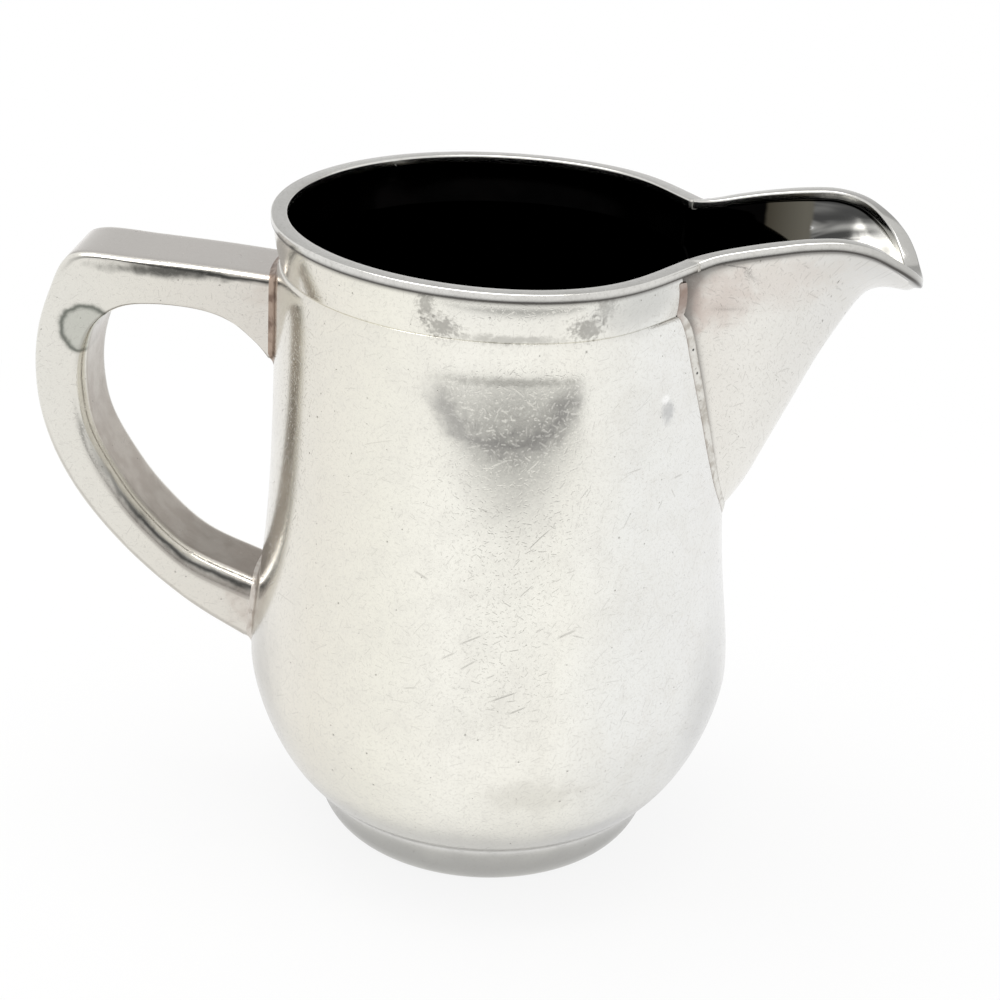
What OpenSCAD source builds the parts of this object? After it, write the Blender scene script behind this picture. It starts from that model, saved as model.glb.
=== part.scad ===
// Creamer in silver plate: a spun body, a sheet spout let into its side and a hollow handle.
// Millimetres, +Z up. The origin is on the body's axis in the plane that the foot rests on.
// The spout points to +X and the handle to -X, and the two sides are mirror images.

/* [Body] */
// Height of the mouth above the table
body_h = 95; // [88:0.5:105]
// Radius of the belly at its widest
belly_r = 35.8; // [34.5:0.1:38]
// Height of the widest part of the belly
belly_z = 27; // [24:0.5:30]
// Radius that the side narrows towards above the belly
waist_r = 32; // [31:0.1:33]
// Height over which the belly fades into the side
belly_fade = 17.5; // [14:0.5:22]
// Thickness of the body's sheet
sheet_t = 1; // [0.8:0.05:1.3]

/* [Foot] */
// Radius of the foot's outer edge on the table
foot_r = 21.2; // [20.2:0.1:22.4]
// Height of the foot band up to its crease
foot_h = 7.3; // [6:0.1:8.5]
// Radius of the crease above the foot band
crease_r = 25.7; // [24.7:0.1:26.5]
// Height of the rounding in that crease
crease_round = 1.6; // [1:0.1:2.2]
// Width of the flat ring that the foot rests on
foot_face_w = 1.4; // [1.2:0.05:1.8]
// Height of the bottom plate's underside above the table
base_z = 3; // [2.5:0.1:3.6]
// Thickness of the bottom plate
base_t = 1; // [0.8:0.05:1.2]
// Rise of the bottom plate's middle over its edge
base_dome = 0.8; // [0.4:0.1:1.2]

/* [Neck] */
// Height of the neck band under the mouth
neck_h = 7.3; // [6.5:0.1:8.5]
// Height of the rolled shoulder under the neck crease
shoulder_h = 4.5; // [3.5:0.1:5.5]
// Depth of the neck crease
neck_step = 0.75; // [0.5:0.05:1]
// How far the neck band flares from the crease to the mouth
neck_flare = 0.95; // [0.7:0.05:1.2]

/* [Wires] */
// Width of the wire on the mouth and the spout
wire_w = 2.3; // [2:0.05:2.6]
// Height of that wire
wire_h = 1.3; // [1.1:0.05:1.6]
// Angle from the spout's middle to the joint of the two wires, in degrees
joint_angle = 29; // [27:0.5:30]

/* [Spout] */
// Distance from the body's axis to the lip, at the middle of its wire
spout_reach = 56.3; // [54:0.1:59]
// Depth of the spout's lower point below the mouth
spout_drop = 41.7; // [39:0.1:44]
// Width of the seam on the body, at the mouth
seam_w = 37.6; // [36:0.1:39]
// Width of the pouring channel between the wires' middles
channel_w = 24.2; // [23:0.1:25.5]
// Rise of the spout's wire from its joint to its crest
lip_rise = 3.35; // [2.8:0.05:4]
// Fall of the wire from its crest to the lip's tip
lip_fall = 7.6; // [7:0.1:8.2]
// Thickness of the spout's sheet
spout_t = 0.9; // [0.75:0.05:1.1]

/* [Handle] */
// Distance from the body's axis to the back of the handle
handle_reach = 66.8; // [63:0.1:70]
// Depth of the handle's top below the mouth
handle_drop = 8.2; // [7.6:0.1:9]
// Height of the handle
handle_h = 59; // [56:0.5:61]
// Width of the handle
handle_w = 13.6; // [12.5:0.1:15]
// Thickness of the handle's sheet
handle_t = 0.9; // [0.75:0.05:1.1]
// Rounding along the handle's outer edges
outer_round = 1.5; // [1:0.1:2]
// Rounding along the inner edges under the top arm
inner_round = 0.9; // [0.6:0.1:1.4]
// Rounding along the inner edges where the lower arm is held
grip_round = 2.9; // [2:0.1:3.2]

/* [Solder] */
// Width of the solder fillets beside a joint
solder_w = 1.1; // [0.8:0.05:1.4]
// Height of the solder bead over the spout's seam
bead_h = 0.45; // [0.35:0.05:0.6]
// Width of the gap that solder fills between the ends of two wires
joint_gap = 0.4; // [0.3:0.05:0.5]

/* [Hidden] */

round_fn = 128;
// Clearance between two pieces of sheet or wire that lie against each other
seat_gap = 0.05;
// Clearance between a bead of solder and the sheets that it joins
bead_gap = 0.15;
// One overrun serves all cuts
overrun = 5;
// Least rounding left on an edge of the handle's inside
least_round = 0.05;
// A slope is taken over this share of a curve on either side of a point
slope_share = 0.004;

// Levels that follow from the sizes above
wall_top_z = body_h - wire_h;
neck_z = body_h - neck_h;
shoulder_z = neck_z - shoulder_h;
wire_mid_z = body_h - wire_h / 2;
spout_foot_z = body_h - spout_drop;
handle_top_z = body_h - handle_drop;

// Counts of steps along the curves
body_steps = 26;
foot_steps = 8;
neck_steps = 8;
corner_steps = 4;
rib_steps = 11;
span_steps = 3;

// The belly's underside is a rounded curve between a cone and an ellipse
belly_power_share = 1.5;

// A smooth curve through a list of stations. The parameter runs from 0 at the first to 1 at the last.
function station(list, i) =
    i < 0 ? 2 * list[0] - list[1]
    : i >= len(list) ? 2 * list[len(list) - 1] - list[len(list) - 2]
    : list[i];
function blend4(a, b, c, d, u) =
    (2 * b + (c - a) * u + (2 * a - 5 * b + 4 * c - d) * u * u + (3 * b - a - 3 * c + d) * u * u * u) / 2;
function along(list, s) =
    let (last = len(list) - 1, i = min(floor(s * last), last - 1), u = s * last - i)
    blend4(station(list, i - 1), station(list, i), station(list, i + 1), station(list, i + 2), u);

function unit(v) = v / norm(v);
function mix(a, b, share) = a + (b - a) * share;
function flip_y(p) = [p[0], -p[1], p[2]];
function reversed(list) = [for (i = [len(list) - 1 : -1 : 0]) list[i]];

// Outer radius of the body at a height, from the foot's edge to the top of the wall
function foot_curve(z) = foot_r + (crease_r - foot_r) * sqrt(1 - pow(1 - z / foot_h, 2));
// The rounding in the crease, as [radius, height], from the foot band to the belly
crease_above_share = 0.4;
function crease_curve(u) =
    let (
        low = foot_h - crease_round, high = foot_h + crease_round * crease_above_share,
        a = [foot_curve(low), low], b = [crease_r, foot_h], c = [belly_curve(high, 0), high]
    )
    mix(mix(a, b, u), mix(b, c, u), u);
function belly_curve(z, t) =
    let (u = (belly_z - z) / (belly_z - foot_h - t))
    crease_r - t + (belly_r - crease_r) * pow(max(0, 1 - pow(u, belly_power_share)), 1 / belly_power_share);
function side_curve(z) = waist_r + (belly_r - waist_r) / (1 + pow((z - belly_z) / belly_fade, 2));
function shoulder_roll(z) =
    z < shoulder_z ? 0 : neck_step * (1 - sqrt(1 - pow((z - shoulder_z) / shoulder_h, 2)));
function neck_curve(z) =
    side_curve(neck_z) - neck_step + neck_flare * sin(90 * (z - neck_z) / (wall_top_z - neck_z));
function body_r(z) =
    z < foot_h ? foot_curve(z)
    : z < belly_z ? belly_curve(z, 0)
    : z < neck_z ? side_curve(z) - shoulder_roll(z)
    : neck_curve(min(z, wall_top_z));

// Inner radius of the foot band, which the bottom plate is let into
function foot_bore_r(z) =
    foot_r - foot_face_w
    + (crease_r - sheet_t - foot_r + foot_face_w) * sqrt(1 - pow(1 - z / foot_h, 2));

function steps(from, to, count) = [for (i = [0 : count]) from + (to - from) * i / count];
// Steps that crowd together towards the start, where the curve turns fastest
function crowded(from, to, count) = [for (i = [0 : count]) from + (to - from) * pow(i / count, 2)];

foot_heights = crowded(0, foot_h - crease_round, foot_steps);
belly_foot_z = foot_h + crease_round * crease_above_share;
outer_heights = concat(
    [for (z = crowded(belly_foot_z, belly_z, body_steps / 2)) if (z > belly_foot_z) z],
    [for (z = steps(belly_z, shoulder_z, body_steps)) if (z > belly_z) z],
    [for (z = reversed(crowded(neck_z, shoulder_z, neck_steps))) if (z > shoulder_z) z],
    [for (z = steps(neck_z, wall_top_z, neck_steps)) if (z > neck_z) z]
);
inner_heights = [for (z = outer_heights) if (z > belly_z) z];
inner_belly_heights = crowded(foot_h + sheet_t, belly_z, body_steps / 2);

module body_shell() {
    outer = concat(
        [for (z = foot_heights) [foot_curve(z), z]],
        [for (u = steps(0, 1, corner_steps)) if (u > 0) crease_curve(u)],
        [for (z = outer_heights) [body_r(z), z]]
    );
    inner = concat(
        [for (z = reversed(inner_heights)) [body_r(z) - sheet_t, z]],
        [for (z = reversed(inner_belly_heights)) [belly_curve(z, sheet_t), z]],
        [for (z = reversed(crowded(0, foot_h, foot_steps))) [foot_bore_r(z), z]]
    );
    color("silver")
    difference() {
        rotate_extrude($fn = round_fn)
        polygon(concat(outer, inner));
        seam_cut();
    }
}

// The opening in the wall that the spout is let into, driven straight through along X
module seam_cut() {
    side = [for (p = seam_line) p + seam_away(p[2]) * bead_gap];
    top = body_h + overrun;
    rotate([90, 0, 90])
    linear_extrude(belly_r + overrun)
    polygon(concat([for (p = side) [p[0], p[1]]], [[side[len(side) - 1][0], top], [side[0][0], top]]));
}

module base_disc() {
    edge_r = foot_bore_r(base_z) - seat_gap;
    dome = [for (s = steps(1, 0, foot_steps)) [edge_r * s, base_dome * (1 - s * s)]];
    color("gainsboro")
    rotate_extrude($fn = round_fn)
    polygon(concat(
        [for (p = dome) [p[0], base_z + p[1]]],
        [for (p = reversed(dome)) [p[0], base_z + base_t + p[1]]]
    ));
}

// The fillet that holds the bottom plate, in the corner under its edge
module base_solder() {
    levels = steps(base_z - solder_w, base_z - seat_gap, corner_steps);
    wall = [for (z = levels) [foot_bore_r(z) - seat_gap, z]];
    tip_r = foot_bore_r(base_z) - solder_w;
    color("tan")
    rotate_extrude($fn = round_fn)
    polygon(concat(wall, [[tip_r, base_z - seat_gap]]));
}

// The wires' section, seen along the wire: x points away from the mouth and y points up
wire_round_share = 0.35;
wire_round = wire_h * wire_round_share;
function wire_corner(cx, cy, from) =
    [for (a = steps(from, from + 90, corner_steps)) [cx + wire_round * cos(a), cy + wire_round * sin(a)]];
function wire_section() =
    let (x = wire_w / 2 - wire_round, y = wire_h / 2 - wire_round)
    concat(wire_corner(x, y, 0), wire_corner(-x, y, 90), wire_corner(-x, -y, 180), wire_corner(x, -y, 270));

// The share of the wire's width that stands out beyond the wall
wire_out_share = 0.18;
wire_mid_r = neck_curve(wall_top_z) + wire_w * wire_out_share - wire_w / 2;
// The angle that the solder takes between the two wires' ends
gap_angle = joint_gap / wire_mid_r * 180 / PI;

module mouth_rim_wire() {
    start = joint_angle + gap_angle / 2;
    color("silver")
    rotate([0, 0, start])
    rotate_extrude(angle = 360 - 2 * start, $fn = round_fn)
    polygon([for (p = wire_section()) [wire_mid_r + p[0], wire_mid_z + p[1]]]);
}

// Solder between the ends of the mouth's wire and the spout's wire, a little fuller than the wires
module rim_joint_solder() {
    fuller_share = 1.06;
    color("tan")
    for (side = [-1, 1])
        rotate([0, 0, side * joint_angle - gap_angle / 2])
        rotate_extrude(angle = gap_angle, $fn = round_fn)
        polygon([for (p = wire_section()) [wire_mid_r + p[0] * fuller_share, wire_mid_z + p[1]]]);
}

// The seam of the spout on the body, as shares of its half width and of its height
SEAM_SHARES = [
    [0, 0], [0.27, 0.09], [0.435, 0.175], [0.535, 0.26], [0.61, 0.35],
    [0.675, 0.46], [0.735, 0.57], [0.795, 0.68], [0.855, 0.79], [0.92, 0.89], [1, 1]
];
seam_sides = concat(
    [for (i = [len(SEAM_SHARES) - 1 : -1 : 1]) [-SEAM_SHARES[i][0], SEAM_SHARES[i][1]]],
    SEAM_SHARES
);
// A point of the seam as [y, z, parameter], where 0.5 is the lower point and 1 the top at +Y
function seam_yz(s) =
    let (p = along(seam_sides, s))
    [p[0] * seam_w / 2, spout_foot_z + p[1] * (wall_top_z - seat_gap - spout_foot_z), s];
// Direction on the wall, as [y, z, 0], that leads away from the spout
function seam_away(s) =
    let (
        a = seam_yz(max(0, s - slope_share)),
        b = seam_yz(min(1, s + slope_share)),
        t = unit([b[0] - a[0], b[1] - a[1]])
    )
    [t[1], -t[0], 0];
seam_count = 2 * (len(SEAM_SHARES) - 1) * span_steps;
seam_line = [for (i = [0 : seam_count]) seam_yz(i / seam_count)];

function on_wall(y, z, depth) = [sqrt(pow(body_r(z) - depth, 2) - y * y), y, z];

// The keel under the spout, as shares of its reach from the wall and of its height up to the mouth
KEEL_SHARES = [
    [0, 0.008], [0.115, 0.115], [0.21, 0.24], [0.295, 0.35], [0.38, 0.46], [0.47, 0.58],
    [0.56, 0.68], [0.645, 0.767], [0.74, 0.838], [0.85, 0.86], [0.945, 0.852], [1.01, 0.85]
];
keel_wall_r = body_r(spout_foot_z) + seat_gap;
function keel_xz(s) =
    let (p = along(KEEL_SHARES, s))
    [keel_wall_r + p[0] * (spout_reach - keel_wall_r), 0, spout_foot_z + p[1] * spout_drop];
function keel_normal(s) =
    let (d = unit(keel_xz(min(1, s + slope_share)) - keel_xz(max(0, s - slope_share))))
    [d[2], 0, -d[0]];
// The rib that ends at the joint of the wires meets the keel at this share of the keel's stations
keel_joint_share = 7 / 11;

// The middle of the spout's wire, as shares of its length in plan, its half width, its rise and its fall
EDGE_SHARES = [
    [0, 0, 0, 0], [0.085, 1.15, 0.19, 0], [0.21, 1.09, 0.49, 0], [0.345, 1.04, 0.76, 0],
    [0.485, 1.015, 0.94, 0], [0.625, 1, 1, 0], [0.755, 0.96, 1, 0.1], [0.858, 0.868, 1, 0.325],
    [0.931, 0.711, 1, 0.57], [0.973, 0.505, 1, 0.79], [0.993, 0.265, 1, 0.95], [1, 0, 1, 1]
];
joint_x = wire_mid_r * cos(joint_angle - gap_angle / 2);
joint_y = wire_mid_r * sin(joint_angle - gap_angle / 2);
function edge_station(e) = [
    mix(joint_x, spout_reach, e[0]),
    e[0] == 0 ? joint_y : e[1] * channel_w / 2,
    wire_mid_z + e[2] * lip_rise - e[3] * lip_fall
];
edge_side = [for (e = EDGE_SHARES) edge_station(e)];
edge_stations = concat(edge_side, [for (i = [len(edge_side) - 2 : -1 : 0]) flip_y(edge_side[i])]);
// A point of the wire's middle, where 0 is the joint at +Y, 0.5 the lip's tip and 1 the joint at -Y
function edge_at(s) = along(edge_stations, s);
function edge_tangent(s) = unit(edge_at(min(1, s + slope_share)) - edge_at(max(0, s - slope_share)));
// The level direction away from the channel, square to the wire but at its ends, where it is the joint's
function edge_out(s) =
    let (t = edge_tangent(s), a = joint_angle - gap_angle / 2)
    s == 0 ? [cos(a), sin(a), 0] : s == 1 ? [cos(a), -sin(a), 0] : unit([-t[1], t[0], 0]);
function edge_up(s) = s == 0 || s == 1 ? [0, 0, 1] : unit(cross(edge_tangent(s), edge_out(s)));

edge_count = 2 * (len(EDGE_SHARES) - 1) * span_steps;

module spout_edge_wire() {
    rings = [
        for (i = [0 : edge_count])
        let (s = i / edge_count, c = edge_at(s), out = edge_out(s), up = edge_up(s))
        [for (p = reversed(wire_section())) c + out * p[0] + up * p[1]]
    ];
    color("silver") swept(rings);
}

// A rib of the spout, from the keel to its edge at +Y. A larger nose makes the keel rounder.
side_bend_share = 0.45;
function rib(keel, edge, nose) =
    let (p1 = keel + [0, nose * edge[1], 0], p2 = mix(edge, p1, side_bend_share))
    [for (u = steps(0, 1, rib_steps))
        pow(1 - u, 3) * keel + 3 * u * pow(1 - u, 2) * p1 + 3 * u * u * (1 - u) * p2 + pow(u, 3) * edge];
keel_nose_share = 0.36;
lip_nose_share = 0.48;
// The nose is full from this share of the way to the lip
full_nose_share = 0.67;
// The sheet is drawn thinner towards the lip
lip_t_share = 0.55;

// The whole rib from side to side. The depth is 0 on the outside and the sheet's thickness on the inside.
function full_rib(keel_s, edge, nose, depth) =
    let (
        lip_share = max(0, keel_s - keel_joint_share) / (1 - keel_joint_share),
        inwards = keel_normal(keel_s) * depth * mix(1, lip_t_share, lip_share),
        side = rib(keel_xz(keel_s) - inwards, edge, nose)
    )
    concat([for (i = [rib_steps : -1 : 1]) flip_y(side[i])], side);

// Ribs between the seam and the keel, from the lower point up, then between the wire and the keel
tip_share = 0.01;
seam_ribs = (len(SEAM_SHARES) - 1) * span_steps;
edge_ribs = (len(EDGE_SHARES) - 1) * span_steps;
function seam_rib(u, depth) =
    let (p = seam_yz(0.5 + u / 2))
    full_rib(u * keel_joint_share, on_wall(p[0], p[1], depth > 0 ? sheet_t : 0), keel_nose_share, depth);
function edge_rib(u, depth) =
    let (
        s = u / 2,
        out = edge_out(s) * (spout_t / 2 - depth),
        down = edge_up(s) * (wire_h / 2 + 2 * seat_gap),
        nose = mix(keel_nose_share, lip_nose_share, min(1, u / full_nose_share))
    )
    full_rib(mix(keel_joint_share, 1, u), edge_at(s) + out - down, nose, depth);
function spout_ribs(depth) = concat(
    [for (i = [0 : seam_ribs]) seam_rib(mix(tip_share, 1, i / seam_ribs), depth)],
    [for (i = [0 : edge_ribs]) edge_rib(mix(tip_share, 1 - tip_share, i / edge_ribs), depth)]
);

module spout_sheet() {
    color("silver") shell_between(spout_ribs(spout_t), spout_ribs(0));
}

// The bead over the seam, from the mouth on one side round the lower point to the other
module spout_seam_solder() {
    end_share = 0.02;
    rings = [
        for (i = [0 : seam_count])
        let (
            s = mix(end_share, 1 - end_share, i / seam_count), p = seam_yz(s), away = seam_away(s),
            seam = on_wall(p[0], p[1], -bead_gap),
            normal = unit([seam[0], seam[1], 0]),
            far = p + away * solder_w,
            onto = on_wall(far[0], far[1], -bead_gap),
            up = spout_side(s)
        )
        [onto, seam + normal * bead_h, seam + up * solder_w + normal * bead_gap / 2, seam]
    ];
    color("tan") swept(rings);
}

// Direction on the spout's outside, square away from the seam
function spout_side(s) =
    let (
        u = max(tip_share, abs(2 * s - 1)),
        side = seam_rib(u, 0),
        last = len(side) - 1,
        d = unit(side[last - 1] - side[last])
    )
    s < 0.5 ? flip_y(d) : d;

// The handle's outlines on its middle plane, as shares of the way from the wall at their own height out to
// the handle's back, and as shares of the handle's height
HANDLE_OUTER_SHARES = [
    [0, 0.025], [0.267, 0.013], [0.544, 0.005], [0.78, 0], [0.864, 0.028], [0.924, 0.1], [0.98, 0.2],
    [1, 0.31], [0.98, 0.43], [0.907, 0.553], [0.774, 0.675], [0.569, 0.798], [0.302, 0.91], [0, 1]
];
HANDLE_INNER_SHARES = [
    [0, 0.235], [0.053, 0.195], [0.145, 0.148], [0.277, 0.122], [0.469, 0.116], [0.621, 0.13],
    [0.727, 0.178], [0.777, 0.26], [0.786, 0.36], [0.754, 0.463], [0.659, 0.567], [0.523, 0.67],
    [0.31, 0.772], [0, 0.84]
];
function handle_xz(shares, s) =
    let (p = along(shares, s), z = handle_top_z - p[1] * handle_h)
    [-mix(body_r(z), handle_reach, p[0]), 0, z];

// The inner edges are crisp under the top arm and full from the corner down
grip_start_share = 0.42;
grip_full_share = 0.62;
function inner_round_at(s) =
    let (u = min(1, max(0, (s - grip_start_share) / (grip_full_share - grip_start_share))))
    mix(inner_round, grip_round, u * u * (3 - 2 * u));

// Half of the handle's section as [across, y], from the outer seam round the side to the inner seam
side_steps = 3;
function handle_section(width, round_in, t) =
    let (
        r_out = max(least_round, outer_round - t),
        r_in = max(least_round, round_in - t),
        y = handle_w / 2 - t
    )
    concat(
        [[t, 0], [t, (y - r_out) / 2]],
        [for (a = steps(180, 90, corner_steps)) [t + r_out + r_out * cos(a), y - r_out + r_out * sin(a)]],
        [for (i = [1 : side_steps - 1]) [mix(t + r_out, width - t - r_in, i / side_steps), y]],
        [for (a = steps(90, 0, corner_steps)) [width - t - r_in + r_in * cos(a), y - r_in + r_in * sin(a)]],
        [[width - t, (y - r_in) / 2], [width - t, 0]]
    );
handle_count = (len(HANDLE_OUTER_SHARES) - 1) * span_steps;
function handle_ring(i, t) =
    let (
        s = i / handle_count,
        o = handle_xz(HANDLE_OUTER_SHARES, s),
        n = handle_xz(HANDLE_INNER_SHARES, s),
        at_wall = i == 0 || i == handle_count
    )
    [for (p = handle_section(norm(n - o), inner_round_at(s), t))
        let (q = o + unit(n - o) * p[0] + [0, p[1], 0])
        at_wall ? [-on_wall(q[1], q[2], -seat_gap)[0], q[1], q[2]] : q];

// One stamped half of the handle: side 1 is the half at +Y
module handle_half(side) {
    outer = [for (i = [0 : handle_count]) handle_ring(i, 0)];
    inner = [for (i = [0 : handle_count]) handle_ring(i, handle_t)];
    color("silver")
    mirror([0, side < 0 ? 1 : 0, 0])
    shell_between(inner, outer);
}
module handle_left_half() { handle_half(-1); }
module handle_right_half() { handle_half(1); }

// The fillet round a root of the handle. The ring at the wall is the first or the last.
root_sink_share = 0.2;
module root_solder(at, neighbour) {
    wall = handle_ring(at, 0);
    arm = handle_ring(neighbour, 0);
    last = len(wall) - 1;
    loop = concat(wall, [for (i = [last - 1 : -1 : 1]) flip_y(wall[i])]);
    arm_loop = concat(arm, [for (i = [last - 1 : -1 : 1]) flip_y(arm[i])]);
    count = len(loop);
    middle = (wall[0] + wall[last]) / 2;
    rings = [
        for (i = [0 : count - 1])
        let (
            p = loop[i], a = loop[(i + count - 1) % count], b = loop[(i + 1) % count],
            t = unit([0, b[1] - a[1], b[2] - a[2]]),
            n0 = [0, t[2], -t[1]],
            n = n0 * (p - middle) < 0 ? -n0 : n0,
            near = p + n * bead_gap,
            far = p + n * solder_w,
            climb = unit(arm_loop[i] - p) * solder_w + n * (bead_gap + seat_gap),
            foot = on_wall_back(near),
            toe = on_wall_back(far)
        )
        [foot, toe, (toe + p + climb) / 2 - n * solder_w * root_sink_share, p + climb]
    ];
    color("tan") swept(at == 0 ? rings : reversed(rings), true);
}
function on_wall_back(p) = [-on_wall(p[1], p[2], -bead_gap)[0], p[1], p[2]];

module handle_top_solder() { root_solder(0, 1); }
module handle_bottom_solder() { root_solder(handle_count, handle_count - 1); }

// A solid between two like grids of points, closed along all four borders
module shell_between(outer, inner) {
    rows = len(outer);
    columns = len(outer[0]);
    right = columns - 1;
    top = rows - 1;
    half = rows * columns;
    points = concat([for (row = outer) each row], [for (row = inner) each row]);
    function at(i, j, k) = k * half + i * columns + j;
    function quad(a, b, c, d) = [[a, b, c], [a, c, d]];
    polyhedron(points, [
        for (i = [0 : rows - 2]) for (j = [0 : columns - 2])
            each quad(at(i, j, 0), at(i, j + 1, 0), at(i + 1, j + 1, 0), at(i + 1, j, 0)),
        for (i = [0 : rows - 2]) for (j = [0 : columns - 2])
            each quad(at(i, j, 1), at(i + 1, j, 1), at(i + 1, j + 1, 1), at(i, j + 1, 1)),
        for (i = [0 : rows - 2])
            each quad(at(i, 0, 0), at(i + 1, 0, 0), at(i + 1, 0, 1), at(i, 0, 1)),
        for (i = [0 : rows - 2])
            each quad(at(i, right, 0), at(i, right, 1), at(i + 1, right, 1), at(i + 1, right, 0)),
        for (j = [0 : columns - 2])
            each quad(at(0, j, 0), at(0, j, 1), at(0, j + 1, 1), at(0, j + 1, 0)),
        for (j = [0 : columns - 2])
            each quad(at(top, j, 0), at(top, j + 1, 0), at(top, j + 1, 1), at(top, j, 1))
    ]);
}

// A solid through a row of like closed sections, capped at its ends or joined into a loop
module swept(rings, loop = false) {
    count = len(rings);
    sides = len(rings[0]);
    spans = loop ? count : count - 1;
    function at(i, j) = (i % count) * sides + j % sides;
    polyhedron([for (ring = rings) each ring], concat(
        [for (i = [0 : spans - 1]) for (j = [0 : sides - 1])
            each [[at(i, j), at(i, j + 1), at(i + 1, j + 1)], [at(i, j), at(i + 1, j + 1), at(i + 1, j)]]],
        loop ? [] : [
            [for (j = [sides - 1 : -1 : 0]) at(0, j)],
            [for (j = [0 : sides - 1]) at(count - 1, j)]
        ]
    ));
}

body_shell();
base_disc();
base_solder();
mouth_rim_wire();
spout_sheet();
spout_edge_wire();
spout_seam_solder();
rim_joint_solder();
handle_left_half();
handle_right_half();
handle_top_solder();
handle_bottom_solder();
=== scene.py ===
"""A creamer in worn silver plate, dressed for a plain pale studio.

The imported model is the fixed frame. Each sub-assembly below builds the same forms as the model's
solids, finer and with the unevenness of hand work, and stands for them. Sizes are millimetres until
a mesh is made. The spout points to +X, the handle to -X, and +Z is up from the table.
"""

import logging
import math
from dataclasses import dataclass, replace
from enum import Enum
from functools import reduce
from typing import Any, Sequence, Union

import bmesh
import bpy
import numpy as np
from mathutils import Matrix, Vector


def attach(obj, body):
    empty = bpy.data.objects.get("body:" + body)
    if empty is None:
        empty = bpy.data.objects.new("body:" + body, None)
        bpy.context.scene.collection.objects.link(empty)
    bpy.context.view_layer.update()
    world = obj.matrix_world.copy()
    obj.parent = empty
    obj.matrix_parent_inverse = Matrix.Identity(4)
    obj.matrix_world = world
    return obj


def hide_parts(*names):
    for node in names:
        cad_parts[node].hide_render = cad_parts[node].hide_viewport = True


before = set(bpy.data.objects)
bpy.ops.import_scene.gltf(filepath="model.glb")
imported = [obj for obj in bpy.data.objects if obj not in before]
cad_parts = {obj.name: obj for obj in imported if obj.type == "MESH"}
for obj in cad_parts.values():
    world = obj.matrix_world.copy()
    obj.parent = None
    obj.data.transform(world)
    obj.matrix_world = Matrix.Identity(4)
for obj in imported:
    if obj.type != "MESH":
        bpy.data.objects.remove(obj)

LOG = logging.getLogger("creamer")
MM = 0.001
# Name of the mesh attribute that carries painted shade lines.
PAINTED_SHADE = "wear_and_shade"
FAR_SIDE = 61.0

Points = np.ndarray
Colour = tuple[float, float, float]
Input = Union["Value", float, int, tuple, str]


# ---------------------------------------------------------------- shader graph


class Value:
    """A shader socket that can be added, multiplied and compared like a number."""

    def __init__(self, graph: "Graph", socket: bpy.types.NodeSocket) -> None:
        """Wraps a socket.

        Args:
            graph: The graph that the socket's node is in.
            socket: The output socket that gives the value.
        """
        self.graph = graph
        self.socket = socket

    def __add__(self, other: Input) -> "Value":
        """Sum with a number or a value."""
        return self.graph.math("ADD", self, other)

    def __radd__(self, other: Input) -> "Value":
        """Sum with a number on the left."""
        return self.graph.math("ADD", other, self)

    def __sub__(self, other: Input) -> "Value":
        """Difference from a number or a value."""
        return self.graph.math("SUBTRACT", self, other)

    def __rsub__(self, other: Input) -> "Value":
        """Difference of a number on the left."""
        return self.graph.math("SUBTRACT", other, self)

    def __mul__(self, other: Input) -> "Value":
        """Product with a number or a value."""
        return self.graph.math("MULTIPLY", self, other)

    def __rmul__(self, other: Input) -> "Value":
        """Product with a number on the left."""
        return self.graph.math("MULTIPLY", other, self)

    def __truediv__(self, other: Input) -> "Value":
        """Quotient by a number or a value."""
        return self.graph.math("DIVIDE", self, other)

    def __neg__(self) -> "Value":
        """The value with its sign turned."""
        return self.graph.math("MULTIPLY", self, -1.0)

    def __abs__(self) -> "Value":
        """The value without its sign."""
        return self.graph.math("ABSOLUTE", self)

    def clamp(self) -> "Value":
        """The value kept between 0 and 1."""
        return self.graph.math("MINIMUM", self.graph.math("MAXIMUM", self, 0.0), 1.0)

    def above(self, limit: Input) -> "Value":
        """1 where the value is over the limit, and 0 elsewhere."""
        return self.graph.math("GREATER_THAN", self, limit)

    def rise(self, low: float, high: float) -> "Value":
        """A smooth step of the value.

        Args:
            low: Where the step starts at 0.
            high: Where the step ends at 1. It may be the smaller one, for a step down.

        Returns:
            The step, between 0 and 1.
        """
        flip = high < low
        step = self.graph.node(
            "ShaderNodeMapRange",
            {"interpolation_type": "SMOOTHSTEP"},
            {"Value": self, "From Min": min(low, high), "From Max": max(low, high)},
        )
        return 1.0 - step if flip else step

    def bell(self, middle: float, spread: float) -> "Value":
        """A bell-shaped bump of the value.

        Args:
            middle: Where the bump is 1.
            spread: How far from the middle it has fallen to about a third.

        Returns:
            The bump, between 0 and 1.
        """
        away = (self - middle) / spread
        return self.graph.math("POWER", math.e, -(away * away))


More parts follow.
